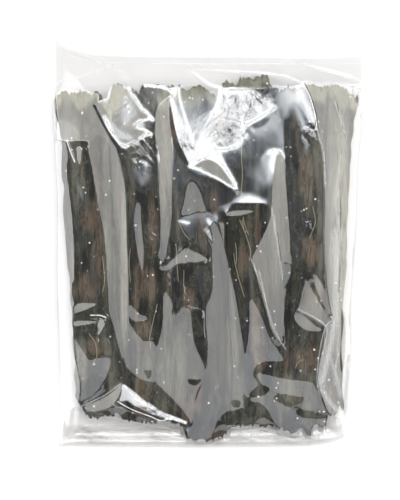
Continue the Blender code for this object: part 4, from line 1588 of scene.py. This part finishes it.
# The bottom hem: the end of the film tucked up over the front
hem = {
    "columns": 150,
    "rows": 14,
    "depth": 15,
    "least": 4,
    "uneven": (1.5, 31),   # its upper end: how much and over which length
    "pastKelp": 1,         # the hem reaches this far past the cut ends
    "sideGap": 2,
    "footGap": 0.4,
    "clearance": 0.5,
    "thickness": 0.25,
    "wave": 0.45,
    "waves": ((1.0, 2.4, 19, 9), (0.3, -1, 9, 6)),      # share, slant, size across and along
    "folds": ((0.8, 2.6, 11, 60), (0.4, 1.6, 3, 40)),
    "sideFade": 14,        # how quickly the layers start at the sides and at the foot
    "footFade": 3,
    "upperFade": 0.7,      # share of the layers that ends before the top
    "kelpFade": 2,
    "plainShare": 0.35,    # of the layers between the slanting folds
}


def slanting(x, y, sets, seed):
    # noise in slanting bands
    bands = enumerate(sets)
    return sum(share * noise(x + slant * y, y, *size, seed + k) for k, (share, slant, *size) in bands)


def hemPiece(height, material):
    u, v = np.meshgrid(np.linspace(0, 1, hem["columns"] + 1), np.linspace(0, 1, hem["rows"] + 1))
    low, high = bag["leftEdge"][0] + hem["sideGap"], bag["rightEdge"][0] - hem["sideGap"]
    x = low + u * (high - low)
    kelpEnd = np.interp(x, *np.array(bottomEnds).T) + hem["pastKelp"]
    uneven, unevenLength = hem["uneven"]
    depth = np.clip(kelpEnd - bottomEdge(x), hem["least"], hem["depth"])
    depth = depth + uneven * noise(x, x * 0, unevenLength, 1, 601)
    y = bottomEdge(x) + hem["footGap"] + v * depth
    footward = smoothStep(v * hem["footFade"])
    wave = hem["wave"] + hem["wave"] * footward * slanting(x, y, hem["waves"], 602)
    front = filmAt(height, x, y) + hem["clearance"] + wave
    rows, columns = x.shape
    over = np.stack([x, y, front + hem["thickness"]], -1).reshape(-1, 3)
    under = np.stack([x, y, front], -1).reshape(-1, 3)
    faces = gridFaces(rows, columns)
    ring = [j * columns + i for i, j in rim(rows, columns)]
    sides = [[a + x.size, b + x.size, b, a] for a, b in zip(ring, ring[1:] + ring[:1])]
    allFaces = faces.tolist() + (faces[:, ::-1] + x.size).tolist() + sides
    piece = meshPiece("bottomHem", np.vstack([over, under]), allFaces, material)
    # how grey the hem is painted: where layers meet, more in the slanting folds; partly the layers, partly
    # painted shade
    layers = smoothStep(u * hem["sideFade"]) * smoothStep((1 - u) * hem["sideFade"]) * footward
    layers = layers * (1 - hem["upperFade"] * smoothStep(v * hem["footFade"] - 2))
    layers = layers * smoothStep((kelpEnd - y) / hem["kelpFade"])
    folds = smoothStep(0.5 + slanting(x, y, hem["folds"], 604))
    slanted = hem["plainShare"] + (1 - hem["plainShare"]) * folds
    paintOn(piece, "layers", np.tile((layers * slanted).ravel(), 2))
    return piece


def saltPiece(strips, material):
    # scattered on the upper strips
    points, faces = [], []
    for name in upperStrips:
        p = strips[name]["points"]
        rows, around = p.shape[:2]
        faces += (gridFaces(rows, around, wrap=True) + len(points)).tolist()
        points += p.reshape(-1, 3).tolist()
    mesh = bpy.data.meshes.new("saltGround")
    mesh.from_pydata(toFrame(points).tolist(), [], faces)
    values = {
        "Density": float(salt["density"]), "Smallest": salt["smallest"] * mm, "Largest": salt["largest"] * mm,
        "Flatness": salt["flatness"], "Least upward": salt["leastUpward"], "Seed": salt["seed"],
        "Material": material,
    }
    return withTree("saltSpecks", mesh, saltTree(), values)


# Studio: a floor, a camera straight above and lights
studio = {
    "cameraHeight": 2400,
    "frameCentre": (-5.0, 0.6),
    "frameHeight": 315.5,
    "shownLevel": 12,
    "sight": 20,             # in metres
    "filmBounces": 32,       # how many layers of film a ray may pass
    "floorSize": 6000,
    "floorColours": ((0.83, 0.83, 0.825, 1), (0.84, 0.84, 0.835, 1)),
    "floorGrain": 3,
    "floorRoughness": 0.8,
    "world": (0.16, 0.163, 0.17, 1),
}

# Each light: tilt from straight up towards +X and towards +Y in degrees, distance, width and
# length in millimetres, brightness, colour, and its glow: even, graded from its low to its high
# end, cloudy, or round with a soft edge
lights = {
    "sidePanel": (16.6, 3, 2000, 880, 2700, 4.5, (1.0, 0.99, 0.98), "graded"),
    "dimPanel": (-14, 2, 2000, 1500, 2600, 0.36, (0.93, 0.96, 1.0), "cloudy"),
    "headLamp": (-5, 31, 2000, 1600, 1750, 12.6, (1.0, 1.0, 1.0), "round"),
    "leftFill": (-66, 0, 1800, 1450, 1900, 3.7, (1.0, 1.0, 1.0), "even"),
    "rightFill": (64, 9, 1800, 1200, 2500, 3.3, (1.0, 0.99, 0.97), "even"),
    "footFill": (0, -56, 1800, 2400, 800, 1.5, (1.0, 1.0, 1.0), "even"),
}
lampGrade = [(0.0, (0.70, 0.82, 1.0, 1)), (1.0, (1.0, 1.0, 1.0, 1))]
panelGrade = [(0.0, (0.32, 0.35, 0.41, 1)), (0.5, (0.57, 0.57, 0.56, 1)), (1.0, (1.0, 0.98, 0.91, 1))]
glows = {
    "panelSides": 0.14,          # width of the graded panel's soft sides, as a share of its own
    "panelClouds": (7, 2),       # fineness and detail
    "panelMottled": (0.3, 0.7),
    "panelLevels": {"To Min": 0.82, "To Max": 1.12},
    "dimClouds": (9, 2),
    "dimMottled": (0.45, 0.68),
}


def shapeGlow(lamp, glow):
    # how a light's brightness and colour change over its surface
    s = Shader(lamp)
    place = s.node("ShaderNodeNewGeometry", {}, {}, "Parametric")
    colour = (1, 1, 1, 1)
    if glow == "graded":
        sideways, lengthwise = (s.node("ShaderNodeSeparateXYZ", {}, {0: place}, k) for k in (0, 1))
        colour = s.node("ShaderNodeValToRGB", {"stops": panelGrade}, {0: lengthwise})
        fromSide = s.node("ShaderNodeMath", {"operation": "PINGPONG"}, {0: sideways, 1: 0.5})
        edge = s.between(fromSide, 0.0, glows["panelSides"])
        linear, clouds = {"interpolation_type": "LINEAR"}, s.clouds(place, *glows["panelClouds"])
        strength = edge * s.between(clouds, *glows["panelMottled"], linear, glows["panelLevels"])
    elif glow == "cloudy":
        strength = s.between(s.clouds(place, *glows["dimClouds"]), *glows["dimMottled"])
    else:
        off = s.node("ShaderNodeVectorMath", {"operation": "DISTANCE"}, {0: place, 1: (0.5, 0.5, 0)}, "Value")
        fall = s.between(off, 0.5, 0.0)
        colour = s.node("ShaderNodeValToRGB", {"stops": lampGrade}, {0: fall})
        strength = fall**2
    glowing = s.node("ShaderNodeEmission", {}, {"Color": colour, "Strength": strength})
    s.finish(glowing, "ShaderNodeOutputLight")


def addLight(name, tiltX, tiltY, distance, width, length, brightness, colour, glow):
    lamp = bpy.data.lights.new(name, "AREA")
    lamp.shape = "RECTANGLE"
    lamp.size, lamp.size_y = width * mm, length * mm
    lamp.color = colour
    lamp.energy = brightness * math.pi * lamp.size * lamp.size_y
    if glow != "even":
        shapeGlow(lamp, glow)
    direction = Vector((math.tan(math.radians(tiltX)), math.tan(math.radians(tiltY)), 1)).normalized()
    light = bpy.data.objects.new(name, lamp)
    light.location = direction * distance * mm
    right = Vector((0, 1, 0)).cross(direction).normalized()
    light.rotation_euler = Matrix((right, direction.cross(right), direction)).transposed().to_euler()
    light.visible_camera = False
    bpy.context.scene.collection.objects.link(light)


def makeStudio():
    scene = bpy.context.scene
    half = studio["floorSize"] * mm / 2
    corners = [(-half, -half, 0), (half, -half, 0), (half, half, 0), (-half, half, 0)]
    mesh = bpy.data.meshes.new("floor")
    mesh.from_pydata(corners, [], [(0, 1, 2, 3)])
    mesh.materials.append(grainyMaterial("paleFloor", studio["floorGrain"], *studio["floorColours"],
                                         studio["floorRoughness"]))
    floor = bpy.data.objects.new("floor", mesh)
    scene.collection.objects.link(floor)
    camera = bpy.data.objects.new("camera", bpy.data.cameras.new("camera"))
    centre = toFrame([(*studio["frameCentre"], studio["cameraHeight"])])[0]
    camera.location = centre
    away = studio["cameraHeight"] - studio["shownLevel"]
    camera.data.lens = camera.data.sensor_width * away / studio["frameHeight"]
    camera.data.clip_end = studio["sight"]
    scene.collection.objects.link(camera)
    scene.camera = camera
    for name, facts in lights.items():
        addLight(name, *facts)
    world = bpy.data.worlds.new("studio")
    world.use_nodes = True
    world.node_tree.nodes["Background"].inputs["Color"].default_value = studio["world"]
    scene.world = world
    scene.view_settings.view_transform = "Standard"
    scene.cycles.transparent_max_bounces = studio["filmBounces"]


makeStudio()
print("studio ready")
strips, x, y, height, lean = makeAll()
print("film drawn over the kelp")
kelpShade = kelpMaterial()
stripPieces = [stripPiece(name, strip, kelpShade) for name, strip in strips.items()]
print("kelp strips:", len(stripPieces))
filmShade = filmMaterial()
bagPiece = filmPiece(x, y, height, lean, filmShade)
print("film bag:", len(bagPiece.data.polygons), "faces")
ridgePieces(x, y, height, filmShade)
hemPiece(height, hemMaterial())
print("ridges and hem made")
shredPiece(strips, x.shape)
saltShade = grainyMaterial("saltSpecks", saltLook["grain"], *saltLook["shades"], saltLook["roughness"])
saltGrains = saltPiece(strips, saltShade)
print("salt specks:", len(saltGrains.data.polygons), "faces")
